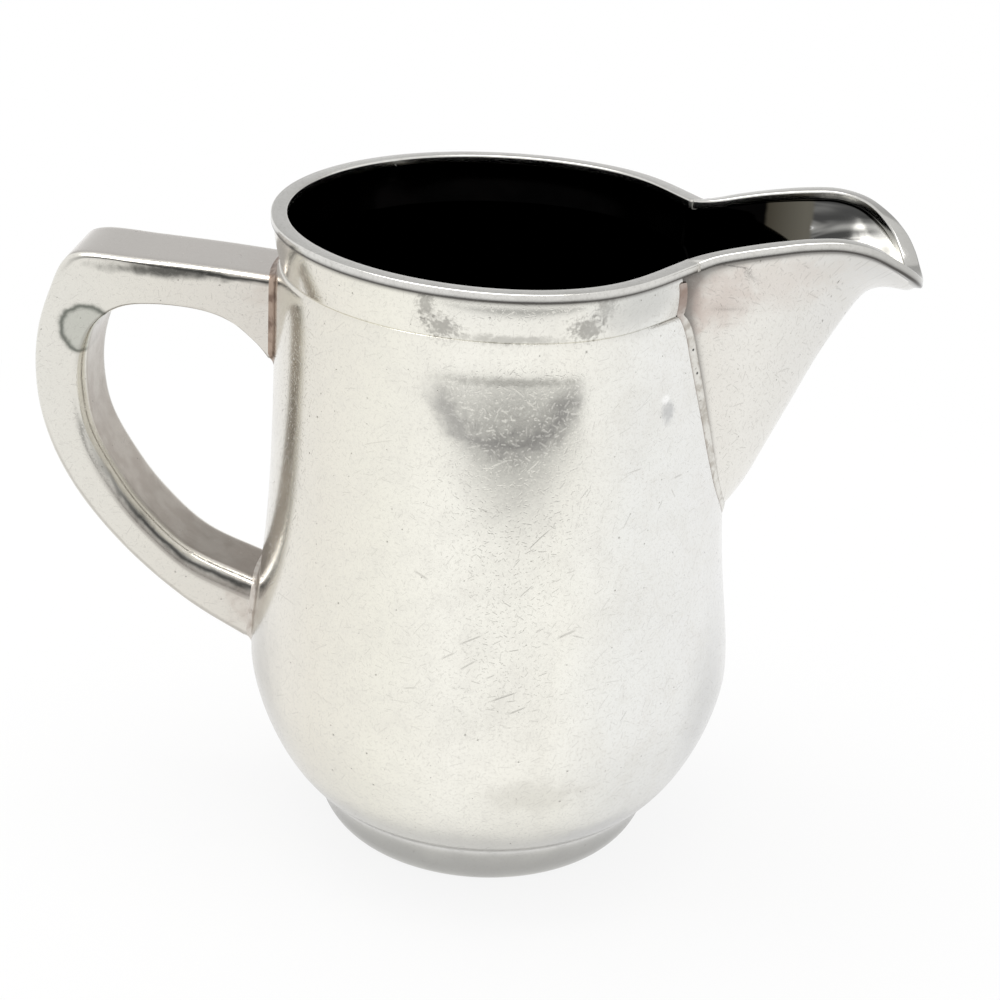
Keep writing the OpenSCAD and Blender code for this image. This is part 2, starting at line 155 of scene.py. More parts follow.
class Graph:
    """The node tree of one material."""

    def __init__(self, name: str) -> None:
        """Starts an empty material.

        Args:
            name: The material's name.
        """
        self.material = bpy.data.materials.new(name)
        self.material.use_nodes = True
        self.tree = self.material.node_tree
        self.tree.nodes.clear()
        self._point: Value | None = None

    def node(
        self,
        kind: str,
        settings: dict[str, Any] | None = None,
        inputs: dict[str | int, Input] | None = None,
        output: str | int = 0,
    ) -> Value:
        """Adds a node of any type.

        Args:
            kind: The node's type.
            settings: Its properties, which are set first. The stops of a ramp are under "stops".
            inputs: The values or links of its sockets, by name or number.
            output: The socket to hand back.

        Returns:
            The chosen output.
        """
        made = self.tree.nodes.new(kind)
        for name, value in (settings or {}).items():
            if name == "stops":
                self._set_stops(made.color_ramp, value)
            else:
                setattr(made, name, value)
        for key, value in (inputs or {}).items():
            if isinstance(value, Value):
                self.tree.links.new(value.socket, made.inputs[key])
            else:
                made.inputs[key].default_value = value
        return Value(self, made.outputs[output])

    @staticmethod
    def _set_stops(ramp: bpy.types.ColorRamp, stops: Sequence[tuple[float, Colour]]) -> None:
        """Writes the stops of a colour ramp.

        Args:
            ramp: The ramp, with its first two stops.
            stops: The place and colour of each stop wanted.
        """
        while len(ramp.elements) < len(stops):
            ramp.elements.new(1.0)
        for element, (place, colour) in zip(ramp.elements, stops):
            element.position = place
            element.color = (*colour, 1.0)

    def math(self, operation: str, *values: Input) -> Value:
        """Adds a Math node.

        Args:
            operation: The node's operation.
            values: Its one, two or three values.

        Returns:
            The result.
        """
        return self.node("ShaderNodeMath", {"operation": operation}, dict(enumerate(values)))

    def vector(self, operation: str, *values: Input, output: int = 0) -> Value:
        """Adds a Vector Math node.

        Args:
            operation: The node's operation.
            values: Its vectors. A scale goes under the node's own socket, through node().
            output: The socket to hand back, 0 for a vector and 1 for a number.

        Returns:
            The result.
        """
        inputs = dict(enumerate(values))
        return self.node("ShaderNodeVectorMath", {"operation": operation}, inputs, output)

    def mix(self, share: Input, first: Input, second: Input) -> Value:
        """Mixes two colours.

        Args:
            share: How much of the second colour shows.
            first: The colour at a share of 0.
            second: The colour at a share of 1.

        Returns:
            The mixed colour.
        """
        first, second = (self._opaque(colour) for colour in (first, second))
        settings = {"data_type": "RGBA", "clamp_factor": True}
        return self.node("ShaderNodeMix", settings, {0: share, 6: first, 7: second}, 2)

    @staticmethod
    def _opaque(colour: Input) -> Input:
        """A colour of three numbers with its fourth."""
        return (*colour, 1.0) if isinstance(colour, tuple) else colour

    def point(self) -> Value:
        """The place on the object, with one node for all who ask.

        Returns:
            The place in millimetres.
        """
        if self._point is None:
            place = self.node("ShaderNodeTexCoord", output="Object")
            self._point = self.node(
                "ShaderNodeVectorMath", {"operation": "SCALE"}, {0: place, "Scale": 1 / MM}
            )
        return self._point

    def normal(self) -> Value:
        """The surface's own direction, before any bump."""
        return self.node("ShaderNodeTexCoord", output="Normal")

    def wear_and_shade(self) -> Value:
        """How much painted shade the mesh gives the place, from 0 to 1, for the shadow lines under the
        wires and beside the seams.
        """
        return self.node("ShaderNodeAttribute", {"attribute_name": PAINTED_SHADE}, output="Fac")

    def split(self, vector: Value) -> tuple[Value, Value, Value]:
        """The three parts of a vector."""
        first = self.node("ShaderNodeSeparateXYZ", inputs={0: vector})
        return first, *(Value(self, socket) for socket in first.socket.node.outputs[1:])

    def join(self, x: Input, y: Input, z: Input = 0.0) -> Value:
        """A vector of three parts."""
        return self.node("ShaderNodeCombineXYZ", inputs={0: x, 1: y, 2: z})

    def noise(self, place: Value, size: float, detail: float = 2.0, warp: float = 0.0) -> Value:
        """Cloudy noise.

        Args:
            place: Where it is looked up, in millimetres.
            size: The size of its clouds in millimetres.
            detail: How many finer layers it has.
            warp: How much its clouds are stirred.

        Returns:
            The noise, around 0.5.
        """
        inputs = {"Vector": place, "Scale": 1 / size, "Detail": detail, "Distortion": warp}
        return self.node("ShaderNodeTexNoise", None, inputs)

    def grid(self, plane: Value, cell: float, offset: float) -> Value:
        """A plane in steps of one loose cell, moved so that no two layers of marks agree."""
        inputs = {0: plane, 1: (1 / cell,) * 3, 2: (offset,) * 3}
        return self.node("ShaderNodeVectorMath", {"operation": "MULTIPLY_ADD"}, inputs)

    def cell(self, grid: Value, output: str, looseness: float = 1.0) -> Value:
        """What a loose grid says about the cell at a place.

        Args:
            grid: The place in the grid.
            output: "Distance" or "Position" of the cell's centre, or its chance "Color".
            looseness: How far the centres stray.

        Returns:
            The wanted output.
        """
        inputs = {"Vector": grid, "Scale": 1.0, "Randomness": looseness}
        return self.node("ShaderNodeTexVoronoi", {"voronoi_dimensions": "2D"}, inputs, output)

    def metal(self, colour: Value, rough: Value, height: Value) -> bpy.types.Material:
        """Ends the graph with a metal surface.

        Args:
            colour: The metal's colour.
            rough: Its roughness.
            height: Its relief in millimetres.

        Returns:
            The material.
        """
        bump = {"Strength": 1.0, "Distance": MM, "Height": height}
        surface = {"Base Color": colour, "Metallic": 1.0, "Roughness": rough}
        surface["Normal"] = self.node("ShaderNodeBump", None, bump)
        return self.output(self.node("ShaderNodeBsdfPrincipled", None, surface))

    def veil(self, cover: Value, tone: Value) -> bpy.types.Material:
        """Ends the graph with a grey glow that hides what is behind it in part.

        Args:
            cover: How much of the glow there is.
            tone: Its colour.

        Returns:
            The material.
        """
        grey = self.node("ShaderNodeEmission", None, {"Color": tone, "Strength": 1.0})
        clear = self.node("ShaderNodeBsdfTransparent")
        return self.output(self.node("ShaderNodeMixShader", None, {0: cover, 1: clear, 2: grey}))

    def output(self, shader: Value) -> bpy.types.Material:
        """Ends the graph with a surface.

        Args:
            shader: The surface's shader.

        Returns:
            The material.
        """
        end = self.tree.nodes.new("ShaderNodeOutputMaterial")
        self.tree.links.new(shader.socket, end.inputs["Surface"])
        return self.material


# ---------------------------------------------------------------- finishes


class Wrap(Enum):
    """How the marks of use lie over a piece."""

    AROUND = "around the axis"
    FLANK = "on the side planes"
    ALONG = "seen from above"


@dataclass(frozen=True)
class Scratches:
    """Short strokes in the plating, one to a cell of a loose grid."""

    cell: float
    width: float
    share: float
    lean: float
    spread: float
    offset: float
    looseness: float = 0.85

    def mask(self, graph: Graph, plane: Value) -> Value:
        """The strokes as a mask.

        Args:
            graph: The material's graph.
            plane: The place in the plane that the strokes lie in, in millimetres.

        Returns:
            1 in the strokes and 0 elsewhere.
        """
        place = graph.grid(plane, self.cell, self.offset)
        centre = graph.cell(place, "Position", self.looseness)
        turn, reach, show = graph.split(graph.cell(place, "Color", self.looseness))
        dx, dy, _ = graph.split(graph.vector("SUBTRACT", place, centre))
        angle = (turn - 0.5) * self.spread + self.lean
        cosine, sine = graph.math("COSINE", angle), graph.math("SINE", angle)
        along = dx * cosine + dy * sine
        across = dy * cosine - dx * sine + along * along * (reach - 0.5) * 0.35
        ends = ((reach * 0.3 + 0.1 - abs(along)) * 12.0).clamp()
        line = (1.0 - abs(across) * (self.cell / self.width)).clamp()
        return line * ends * show.above(1.0 - self.share)


@dataclass(frozen=True)
class Specks:
    """Small dark pits in the plating."""

    cell: float
    size: float
    share: float
    offset: float

    def mask(self, graph: Graph, plane: Value) -> Value:
        """The pits as a mask.

        Args:
            graph: The material's graph.
            plane: The place in the plane that the pits lie in, in millimetres.

        Returns:
            1 in the pits and 0 elsewhere.
        """
        place = graph.grid(plane, self.cell, self.offset)
        show, large, _ = graph.split(graph.cell(place, "Color"))
        size = (large * 0.7 + 0.3) * (self.size / self.cell)
        return (1.0 - graph.cell(place, "Distance") / size).clamp() * show.above(1.0 - self.share)


@dataclass(frozen=True)
class SpotOfStainOrShade:
    """A soft spot of another colour: real staining, such as plating rubbed thin at a joint, or painted
    shade, a painted reflection or a painted highlight, as each use says.
    """

    centre: tuple[float, float, float]
    reach: tuple[float, float, float]
    colour: Colour
    strength: float
    ragged: float = 1.3
    cloud: float = 2.4

    def share(self, graph: Graph) -> Value:
        """How much the stain shows.

        Args:
            graph: The material's graph.

        Returns:
            The share, from 0 to the stain's strength.
        """
        away = graph.vector("SUBTRACT", graph.point(), self.centre)
        scaled = graph.vector("DIVIDE", away, self.reach)
        distance = graph.vector("LENGTH", scaled, output=1)
        cloud = graph.noise(graph.point(), self.cloud, 5.0, 0.4)
        return (distance + (cloud - 0.5) * self.ragged).rise(1.15, 0.25) * self.strength


@dataclass(frozen=True)
class RingMark:
    """A dark, ragged border round a paler middle: a mark where something dried or was held, or, as on the
    handle, a painted reflection where a rounding starts.
    """

    centre: tuple[float, float]
    reach: tuple[float, float]
    border: Colour
    middle: Colour
    border_share: float = 0.9
    middle_share: float = 0.7
    thickness: float = 0.13
    ragged: float = 0.30
    opening: tuple[float, float] = (0.0, 0.0)
    open_from: float = 0.75

    def apply(self, graph: Graph, plane: Value, colour: Value) -> Value:
        """Lays the mark over a colour.

        Args:
            graph: The material's graph.
            plane: The place in the plane of the marks, in millimetres.
            colour: The colour under the mark.

        Returns:
            The colour with the mark.
        """
        away = graph.vector("SUBTRACT", plane, (*self.centre, 0.0))
        scaled = graph.vector("DIVIDE", away, (*self.reach, 1.0))
        distance = graph.vector("LENGTH", scaled, output=1)
        distance = distance + (graph.noise(graph.point(), 1.9, 5.0) - 0.5) * self.ragged
        side = graph.vector("DOT_PRODUCT", scaled, (*self.opening, 0.0), output=1)
        closed = side.rise(self.open_from, self.open_from - 0.5)
        inside = distance.rise(1.04, 0.86) * self.middle_share * side.rise(1.2, self.open_from)
        border = distance.bell(0.97, self.thickness) * self.border_share * closed
        colour = graph.mix(inside, colour, self.middle)
        return graph.mix(border, colour, self.border)


@dataclass(frozen=True)
class EdgeTarnishAndPaintedLight:
    """Dark lines along the handle's rounded edges, partly tarnish and partly painted reflection, with
    painted shade under the downward edges, a painted highlight on the lower arm's rounding, and warmer
    faces between them.
    """

    # The line colour is partly tarnish, partly painted reflection; the rim colour is painted reflection and
    # painted shade; the light colour after it is a painted highlight.
    line: Colour = (0.045, 0.045, 0.042)
    rim: Colour = (0.20, 0.175, 0.155)
    painted_shine: Colour = (0.97, 0.96, 0.93)
    top: Colour = (0.70, 0.665, 0.63)
    grip: Colour = (0.31, 0.27, 0.232)
    arm_z: float = 78.5

    def apply(self, graph: Graph, colour: Value) -> Value:
        """Lays the edge lines, painted shade, painted highlight and face tones over a colour.

        Args:
            graph: The material's graph.
            colour: The colour underneath.

        Returns:
            The colour with the edge lines and tones.
        """
        place = graph.point()
        inner, side, up = graph.split(graph.normal())
        x, _, z = graph.split(place)
        side = abs(side)
        lower = z.rise(self.arm_z + 1.5, self.arm_z - 1.5)
        drawn = graph.vector("MULTIPLY", place, (0.3, 1.0, 0.3))
        ragged = side + (graph.noise(drawn, 0.9, 3.0, 0.4) - 0.5) * 0.30
        mottle = graph.noise(place, 3.4, 4.0, 0.2).rise(0.35, 0.68)
        # The upper arm's faces take a duller tone, and the lower arm's faces that turn towards the body a
        # darker, warmer, mottled one.
        faces = side.rise(0.34, 0.10)
        colour = graph.mix(faces * (1.0 - lower) * 0.85, colour, self.top)
        grip = faces * lower * inner.rise(-0.1, 0.25)
        colour = graph.mix(grip * (mottle * 0.16 + 0.74), colour, self.grip)
        towards_root = x.rise(-64.0, -51.0)
        facing_up = up.rise(0.05, 0.25)
        # Dark lines just below the lit edges: partly tarnish, partly painted reflection.
        upper_line = ragged.bell(0.90, 0.12) * facing_up * (1.0 - lower) * x.rise(-63.0, -56.0)
        colour = graph.mix(upper_line * 0.97, colour, self.line)
        lower_line = ragged.bell(0.78, 0.15) * facing_up * lower * towards_root
        colour = graph.mix(lower_line * 0.97, colour, self.line)
        # Painted reflection: a grey band on the lower arm's rounding beside the flank, near the root.
        soft = side.bell(0.95, 0.07) * up.rise(0.0, 0.10) * lower * towards_root
        colour = graph.mix(soft * 0.65, colour, self.rim)
        # Painted highlight on the lower arm's inner rounding.
        painted_shine_share = side.bell(0.45, 0.15) * facing_up * lower * x.rise(-54.0, -45.0)
        colour = graph.mix(painted_shine_share, colour, self.painted_shine)
        # Dark band on edges that face downwards: partly tarnish, partly painted shade.
        under = ragged.bell(0.86, 0.15) * up.rise(-0.04, -0.25) * (1.0 - lower * 0.6)
        return graph.mix(under * 0.85, colour, self.rim)


@dataclass(frozen=True)
class Gouge:
    """One longer scratch at a known place on the wall."""

    around: float
    height: float
    lean: float
    length: float
    width: float = 0.16

    def mask(self, graph: Graph, plane: Value) -> Value:
        """The scratch as a mask.

        Args:
            graph: The material's graph.
            plane: The place on the unrolled wall, in millimetres.

        Returns:
            1 in the scratch and 0 elsewhere.
        """
        lean = math.radians(self.lean)
        away = graph.vector("SUBTRACT", plane, (self.around, self.height, 0.0))
        along_it = graph.vector("DOT_PRODUCT", away, (math.cos(lean), math.sin(lean), 0.0), output=1)
        across = graph.vector("DOT_PRODUCT", away, (-math.sin(lean), math.cos(lean), 0.0), output=1)
        bow = across + along_it * along_it * (0.05 / self.length)
        line = (1.0 - abs(bow) / self.width).clamp()
        return line * abs(along_it).rise(self.length / 2, self.length / 5)


@dataclass(frozen=True)
class SilverPlate:
    """Silver plate rubbed satin by use: fine strokes, pits, cloudy tarnish and stained spots, with painted
    shade, painted reflections and painted highlights where a piece's tones, bands, spots, marks, edge lines
    and shadow lines put them.
    """

    name: str
    tones: tuple[tuple[float, Colour], ...] = ((0.0, (0.80, 0.78, 0.72)),)
    shade: Colour = (0.70, 0.68, 0.63)
    roughness: float = 0.17
    wrap: Wrap = Wrap.AROUND
    radius: float = 33.0
    stroke_depth: float = 0.34
    stroke_tone: Colour = (0.36, 0.345, 0.32)
    pit_tone: Colour = (0.10, 0.09, 0.08)
    swell: float = 0.085
    ripple: float = 0.010
    grain: float = 0.0032
    stroke_cut: float = 0.011
    pit_cut: float = 0.04
    marked: float = 1.0
    painted_shadow_line: Colour = (0.075, 0.07, 0.065)
    bands: tuple[tuple[float, float, float, Colour], ...] = ()
    stains_and_shading: tuple[SpotOfStainOrShade, ...] = ()
    gouges: tuple[Gouge, ...] = ()
    marks: tuple[RingMark, ...] = ()
    edges: EdgeTarnishAndPaintedLight | None = None
    # Paints the upward faces near-black: painted shade.
    painted_dark_above: bool = False

    def plane(self, graph: Graph) -> Value:
        """The plane in which strokes and pits lie.

        Args:
            graph: The material's graph.

        Returns:
            The place in that plane, in millimetres.
        """
        x, y, z = graph.split(graph.point())
        if self.wrap is Wrap.AROUND:
            return graph.join(graph.math("ARCTAN2", y, x) * self.radius, z)
        if self.wrap is Wrap.FLANK:
            return graph.join(x + y * 0.7, z + y * 0.9)
        return graph.join(x + z * 0.6, y + z * 0.8)

    def sheet(self, graph: Graph) -> Value:
        """The plane in which single marks are placed.

        Args:
            graph: The material's graph.

        Returns:
            The place in that plane, in millimetres. The far side of a flat piece lies FAR_SIDE away.
        """
        x, y, z = graph.split(graph.point())
        if self.wrap is Wrap.AROUND:
            return graph.join(graph.math("ARCTAN2", y, x) * self.radius, z)
        return graph.join(x, z + y.above(0.0) * FAR_SIDE)

    def strokes(self, graph: Graph, plane: Value) -> Value:
        """All layers of scratches together.

        Args:
            graph: The material's graph.
            plane: The place in the plane of the scratches, in millimetres.

        Returns:
            The scratches' mask, between 0 and 1.
        """
        layers = (
            (0.65, Scratches(1.9, 0.11, 0.62, 0.45, 2.4, 3.7)),
            (0.60, Scratches(1.15, 0.10, 0.70, 0.20, 3.1, 11.3)),
            (0.50, Scratches(0.72, 0.085, 0.75, 0.35, 3.1, 5.9)),
            (0.75, Scratches(3.6, 0.11, 0.36, 0.50, 1.4, 23.9)),
            (0.80, Scratches(7.5, 0.12, 0.08, 0.45, 0.9, 31.1)),
        )
        parts = [layer.mask(graph, plane) * (weight * self.marked) for weight, layer in layers]
        return reduce(lambda first, second: graph.math("MAXIMUM", first, second), parts)

    def tone(self, graph: Graph) -> Value:
        """The ramp of colour along x, which changes slowly from the handle's side to the spout's, with
        painted light and shade in the body's middle and sides and towards the spout's lip.

        Args:
            graph: The material's graph.

        Returns:
            The colour.
        """
        x, _, _ = graph.split(graph.point())
        first, last = self.tones[0][0], self.tones[-1][0]
        place = x + (graph.noise(graph.point(), 14.0, 2.0) - 0.5) * 5.0
        share = (place - first) / max(last - first, 1.0)
        stops = [((x - first) / max(last - first, 1.0), colour) for x, colour in self.tones]
        return graph.node("ShaderNodeValToRGB", {"stops": stops}, {0: share})

    def colour(self, graph: Graph, strokes: Value, pits: Value) -> Value:
        """The plating's colour with its marks, its painted shade and its painted highlights.

        Args:
            graph: The material's graph.
            strokes: The scratches' mask.
            pits: The pits' mask.

        Returns:
            The colour.
        """
        place = graph.point()
        cloud = graph.noise(place, 22.0, 3.0, 0.4).rise(0.42, 0.70)
        mottle = graph.noise(place, 4.0, 5.0, 0.8).rise(0.40, 0.72)
        grain = graph.noise(place, 0.42, 3.0).rise(0.46, 0.70)
        colour = graph.mix(cloud * 0.20 + mottle * 0.18 + grain * 0.25, self.tone(graph), self.shade)
        _, _, z = graph.split(place)
        for middle, spread, strength, tint in self.bands:
            ragged = z + (graph.noise(place, 6.0, 2.0) - 0.5) * spread * 0.6
            colour = graph.mix(ragged.bell(middle, spread) * strength, colour, tint)
        for spot in self.stains_and_shading:
            colour = graph.mix(spot.share(graph), colour, spot.colour)
        for mark in self.marks:
            colour = mark.apply(graph, self.sheet(graph), colour)
        if self.edges is not None:
            colour = self.edges.apply(graph, colour)
        # Painted shadow line where the mesh marks it: under the wires and beside the seams.
        wear_and_shade = graph.wear_and_shade()
        colour = graph.mix(wear_and_shade * wear_and_shade * wear_and_shade * 0.95, colour, self.painted_shadow_line)
        colour = graph.mix(strokes * self.stroke_depth, colour, self.stroke_tone)
        colour = graph.mix(pits * 0.7, colour, self.pit_tone)
        # Painted shade: upward faces inside the cup go near-black.
        if self.painted_dark_above:
            _, _, up = graph.split(graph.normal())
            black = graph.mix(mottle, (0.002, 0.002, 0.002), (0.006, 0.0055, 0.005))
            colour = graph.mix(up.above(0.3), colour, black)
        return colour

    def material(self) -> bpy.types.Material:
        """Builds the finish.

        Returns:
            The material.
        """
        graph = Graph(self.name)
        plane = self.plane(graph)
        strokes = self.strokes(graph, plane)
        for gouge in self.gouges:
            strokes = graph.math("MAXIMUM", strokes, gouge.mask(graph, plane) * 1.3)
        pits = graph.math(
            "MAXIMUM",
            Specks(6.5, 0.26, 0.22, 7.7).mask(graph, plane),
            Specks(2.9, 0.17, 0.25, 17.1).mask(graph, plane),
        )
        colour = self.colour(graph, strokes, pits)
        place = graph.point()
        haze = graph.noise(place, 11.0, 4.0, 0.3)
        grain = graph.noise(place, 0.55, 3.0)
        rough = haze * 0.12 + grain * 0.06 + (self.roughness - 0.09) + strokes * 0.15 + pits * 0.3
        swell = graph.noise(place, 19.0, 1.0) * self.swell
        ripple = graph.noise(place, 5.5, 2.0) * self.ripple
        height = swell + ripple + grain * self.grain - strokes * self.stroke_cut - pits * self.pit_cut
        return graph.metal(colour, rough, height)


@dataclass(frozen=True)
class PaintedDarkInside:
    """The inside: glossy and painted near-black for the dark it mirrors, then a painted grey zone, then
    silver towards the lip with painted reflection streaks and a painted glint, and bare silver in a patch
    at the lip.
    """

    name: str
    # Where the painted black gives way to the painted grey zone, and that to silver, along x.
    grey_from: float = 34.8
    silver_from: float = 41.3
    dark: Colour = (0.05, 0.05, 0.05)
    streaked: Colour = (0.50, 0.495, 0.47)
    painted_glint: Colour = (0.78, 0.79, 0.80)
    lip_tone: Colour = (0.64, 0.63, 0.60)
    pool: SpotOfStainOrShade = SpotOfStainOrShade((52.4, 6.0, 92.4), (4.4, 4.2, 4.0), (0.90, 0.89, 0.85), 0.92, 0.7)
    heart: SpotOfStainOrShade = SpotOfStainOrShade((52.6, 6.2, 92.4), (1.2, 1.2, 1.5), (0.40, 0.39, 0.35), 0.7, 0.6)

    def material(self) -> bpy.types.Material:
        """Builds the finish.

        Returns:
            The material.
        """
        graph = Graph(self.name)
        place = graph.point()
        x, y, z = graph.split(place)
        # Painted shade and reflection: near-black deep inside, a grey zone, then silver towards the lip.
        ragged = x - y * 0.05 + (graph.noise(place, 3.0, 3.0, 0.5) - 0.5) * 0.5
        grey_share = ragged.rise(self.grey_from, self.grey_from + 0.7)
        clear = ragged.rise(self.silver_from, self.silver_from + 0.8)
        mottle = graph.noise(place, 7.0, 4.0, 0.5).rise(0.35, 0.75)
        angle = graph.math("ARCTAN2", y, x) * (180 / math.pi)
        # Painted reflection: a faint lighter streak high on the inside wall.
        streak = angle.bell(139.5, 2.2) * z.rise(84.0, 88.0) * 0.5
        black = graph.mix(mottle, (0.001,) * 3, (0.002, 0.0018, 0.0018))
        black = graph.mix(streak, black, (0.03, 0.029, 0.026))
        grey_depth = ((x - self.grey_from) / (self.silver_from - self.grey_from)).clamp()
        greyed = graph.mix(grey_depth, (0.034, 0.029, 0.020), (0.115, 0.108, 0.088))
        stretched = graph.vector("MULTIPLY", place, (0.35, 1.3, 1.3))
        streaks = graph.noise(stretched, 4.2, 2.0, 0.9)
        # Painted reflection: light and dark streaks in the silver, and a dark zone on its +Y side.
        silver = graph.mix(streaks.rise(0.40, 0.62), self.streaked, (0.06, 0.06, 0.058))
        silver = graph.mix(y.rise(7.5, 11.0) * x.rise(52.0, 47.0) * 0.6, silver, self.dark)
        # Painted glint along one streak.
        silver = graph.mix(streaks.bell(0.42, 0.016) * 0.6, silver, self.painted_glint)
        lip = x.rise(50.0, 53.5)
        silver = graph.mix(lip * 0.8, silver, self.lip_tone)
        bare = self.pool.share(graph)
        silver = graph.mix(bare, silver, self.pool.colour)
        silver = graph.mix(self.heart.share(graph), silver, self.heart.colour)
        colour = graph.mix(grey_share, black, greyed)
        colour = graph.mix(clear, colour, silver)
        satin = graph.math("MAXIMUM", bare, lip * 0.7)
        rough = graph.noise(place, 9.0, 3.0) * 0.12 + satin * 0.36 + 0.05
        return graph.metal(colour, rough, graph.noise(place, 12.0, 2.0) * 0.05)


@dataclass(frozen=True)
class SolderBead:
    """Solder under rubbed plating: warm, dull and a little pitted, with painted shade along its edges where
    the mesh marks them.
    """

    name: str
    tone: Colour = (0.60, 0.54, 0.47)
    wear_and_shade: Colour = (0.33, 0.245, 0.19)
    # Colour of the painted shade at the bead's edges.
    border: Colour = (0.20, 0.155, 0.13)
    stains_and_shading: tuple[SpotOfStainOrShade, ...] = ()

    def material(self) -> bpy.types.Material:
        """Builds the finish.

        Returns:
            The material.
        """
        graph = Graph(self.name)
        place = graph.point()
        cloud = graph.noise(place, 1.7, 4.0, 0.6)
        pits = graph.noise(place, 0.6, 3.0).rise(0.62, 0.78)
        colour = graph.mix(cloud.rise(0.42, 0.66) * 0.7, self.tone, self.wear_and_shade)
        for spot in self.stains_and_shading:
            colour = graph.mix(spot.share(graph), colour, spot.colour)
        colour = graph.mix(pits * 0.5, colour, (0.12, 0.10, 0.08))
        # Painted shade along the bead's edges, where the mesh marks them.
        edge = graph.wear_and_shade()
        colour = graph.mix(edge * edge * 0.75, colour, self.border)
        rough = cloud * 0.2 + 0.22
        return graph.metal(colour, rough, cloud * 0.10 - pits * 0.04)


# ---------------------------------------------------------------- curves and meshes


def smooth(value: np.ndarray | float, low: float, high: float) -> np.ndarray:
    """A smooth step from 0 at low to 1 at high.

    Args:
        value: The number or numbers to step.
        low: Where the step starts.
        high: Where the step ends.

    Returns:
        The step.
    """
    share = np.clip((np.asarray(value, float) - low) / (high - low), 0.0, 1.0)
    return share * share * (3 - 2 * share)


def along(stations: Points, share: np.ndarray) -> Points:
    """A smooth curve through stations.

    Args:
        stations: The stations, one a row.
        share: The places wanted, from 0 at the first station to 1 at the last.

    Returns:
        A row for each place.
    """
    before = 2 * stations[0] - stations[1]
    after = 2 * stations[-1] - stations[-2]
    table = np.vstack([before, stations, after])
    last = len(stations) - 1
    place = np.clip(np.asarray(share, float), 0.0, 1.0) * last
    index = np.minimum(place.astype(int), last - 1)
    u = (place - index)[:, None]
    a, b, c, d = (table[index + i] for i in range(4))
    return (2 * b + (c - a) * u + (2 * a - 5 * b + 4 * c - d) * u**2 + (3 * b - a - 3 * c + d) * u**3) / 2


def unit(vectors: Points) -> Points:
    """Vectors, one a row, brought to a length of 1."""
    return vectors / np.linalg.norm(vectors, axis=-1, keepdims=True)


def flipped(points: Points) -> Points:
    """Points mirrored to the other side of the middle plane."""
    return points * np.array([1.0, -1.0, 1.0])


class MeshMaker:
    """Collects points and faces and makes one object of them."""

    def __init__(self, name: str) -> None:
        """Starts an empty mesh.

        Args:
            name: The object's name.
        """
        self.name = name
        self.points: list[Points] = []
        self.faces: list[tuple[int, ...]] = []
        self.slots: list[int] = []
        # Painted shade of each point, written to the mesh attribute.
        self.wear_and_shade: list[Points] = []
        self.count = 0

    def add(self, points: Points, wear_and_shade: Points | float = 0.0) -> np.ndarray:
        """Adds a grid of points.

        Args:
            points: The points, with any number of leading sides and three numbers last.
            wear_and_shade: How much painted shade each point gets, as one number or a number for each
                column.

        Returns:
            The points' numbers, in the same sides.
        """
        shape = points.shape[:-1]
        flat = points.reshape(-1, 3)
        index = np.arange(self.count, self.count + len(flat)).reshape(shape)
        self.points.append(flat)
        self.wear_and_shade.append(np.broadcast_to(wear_and_shade, shape).reshape(-1))
        self.count += len(flat)
        return index

    def skin(
        self,
        index: np.ndarray,
        slot: int = 0,
        close_rows: bool = False,
        close_columns: bool = False,
    ) -> None:
        """Lays faces over a grid of points.

        Args:
            index: The points' numbers, in rows and columns.
            slot: The number of the material.
            close_rows: Whether the last row joins the first.
            close_columns: Whether the last column joins the first.
        """
        if close_rows:
            index = np.vstack([index, index[:1]])
        if close_columns:
            index = np.hstack([index, index[:, :1]])
        corners = [index[:-1, :-1], index[:-1, 1:], index[1:, 1:], index[1:, :-1]]
        quads = np.stack(corners, -1).reshape(-1, 4)
        self.faces.extend(tuple(int(i) for i in quad) for quad in quads)
        self.slots.extend([slot] * len(quads))

    def cap(self, ring: np.ndarray, slot: int = 0) -> None:
        """Closes a ring of points with one face."""
        self.faces.append(tuple(int(i) for i in ring))
        self.slots.append(slot)

    def tube(self, points: Points, wear_and_shade: Points | float = 0.0) -> None:
        """Adds a closed tube.

        Args:
            points: The points of its rings, one row a ring.
            wear_and_shade: How much painted shade each point gets, as one number or a number for each
                column.
        """
        index = self.add(points, wear_and_shade)
        self.skin(index, close_columns=True)
        self.cap(index[0])
        self.cap(index[-1][::-1])

    def make(
        self,
        materials: Sequence[bpy.types.Material],
        crisp: float = 38.0,
        weld: float = 0.0004,
    ) -> bpy.types.Object:
        """Makes the object.

        Args:
            materials: The materials, in the order of the slots.
            crisp: Edges sharper than this many degrees stay crisp.
            weld: Points closer than this many millimetres become one.

        Returns:
            The object, in the scene.
        """
        mesh = bpy.data.meshes.new(self.name)
        mesh.from_pydata((np.vstack(self.points) * MM).tolist(), [], self.faces)
        for material in materials:
            mesh.materials.append(material)
        mesh.polygons.foreach_set("material_index", np.array(self.slots, np.int32))
        wear_and_shade = mesh.attributes.new(PAINTED_SHADE, "FLOAT", "POINT")
        wear_and_shade.data.foreach_set("value", np.concatenate(self.wear_and_shade).astype(np.float32))
        work = bmesh.new()
        work.from_mesh(mesh)
        bmesh.ops.remove_doubles(work, verts=work.verts, dist=weld * MM)
        bmesh.ops.dissolve_degenerate(work, edges=work.edges, dist=weld * MM)
        bmesh.ops.recalc_face_normals(work, faces=work.faces)
        work.to_mesh(mesh)
        work.free()
        mesh.polygons.foreach_set("use_smooth", np.ones(len(mesh.polygons), bool))
        mesh.set_sharp_from_angle(angle=math.radians(crisp))
        mesh.update()
        piece = bpy.data.objects.new(self.name, mesh)
        bpy.context.scene.collection.objects.link(piece)
        return piece


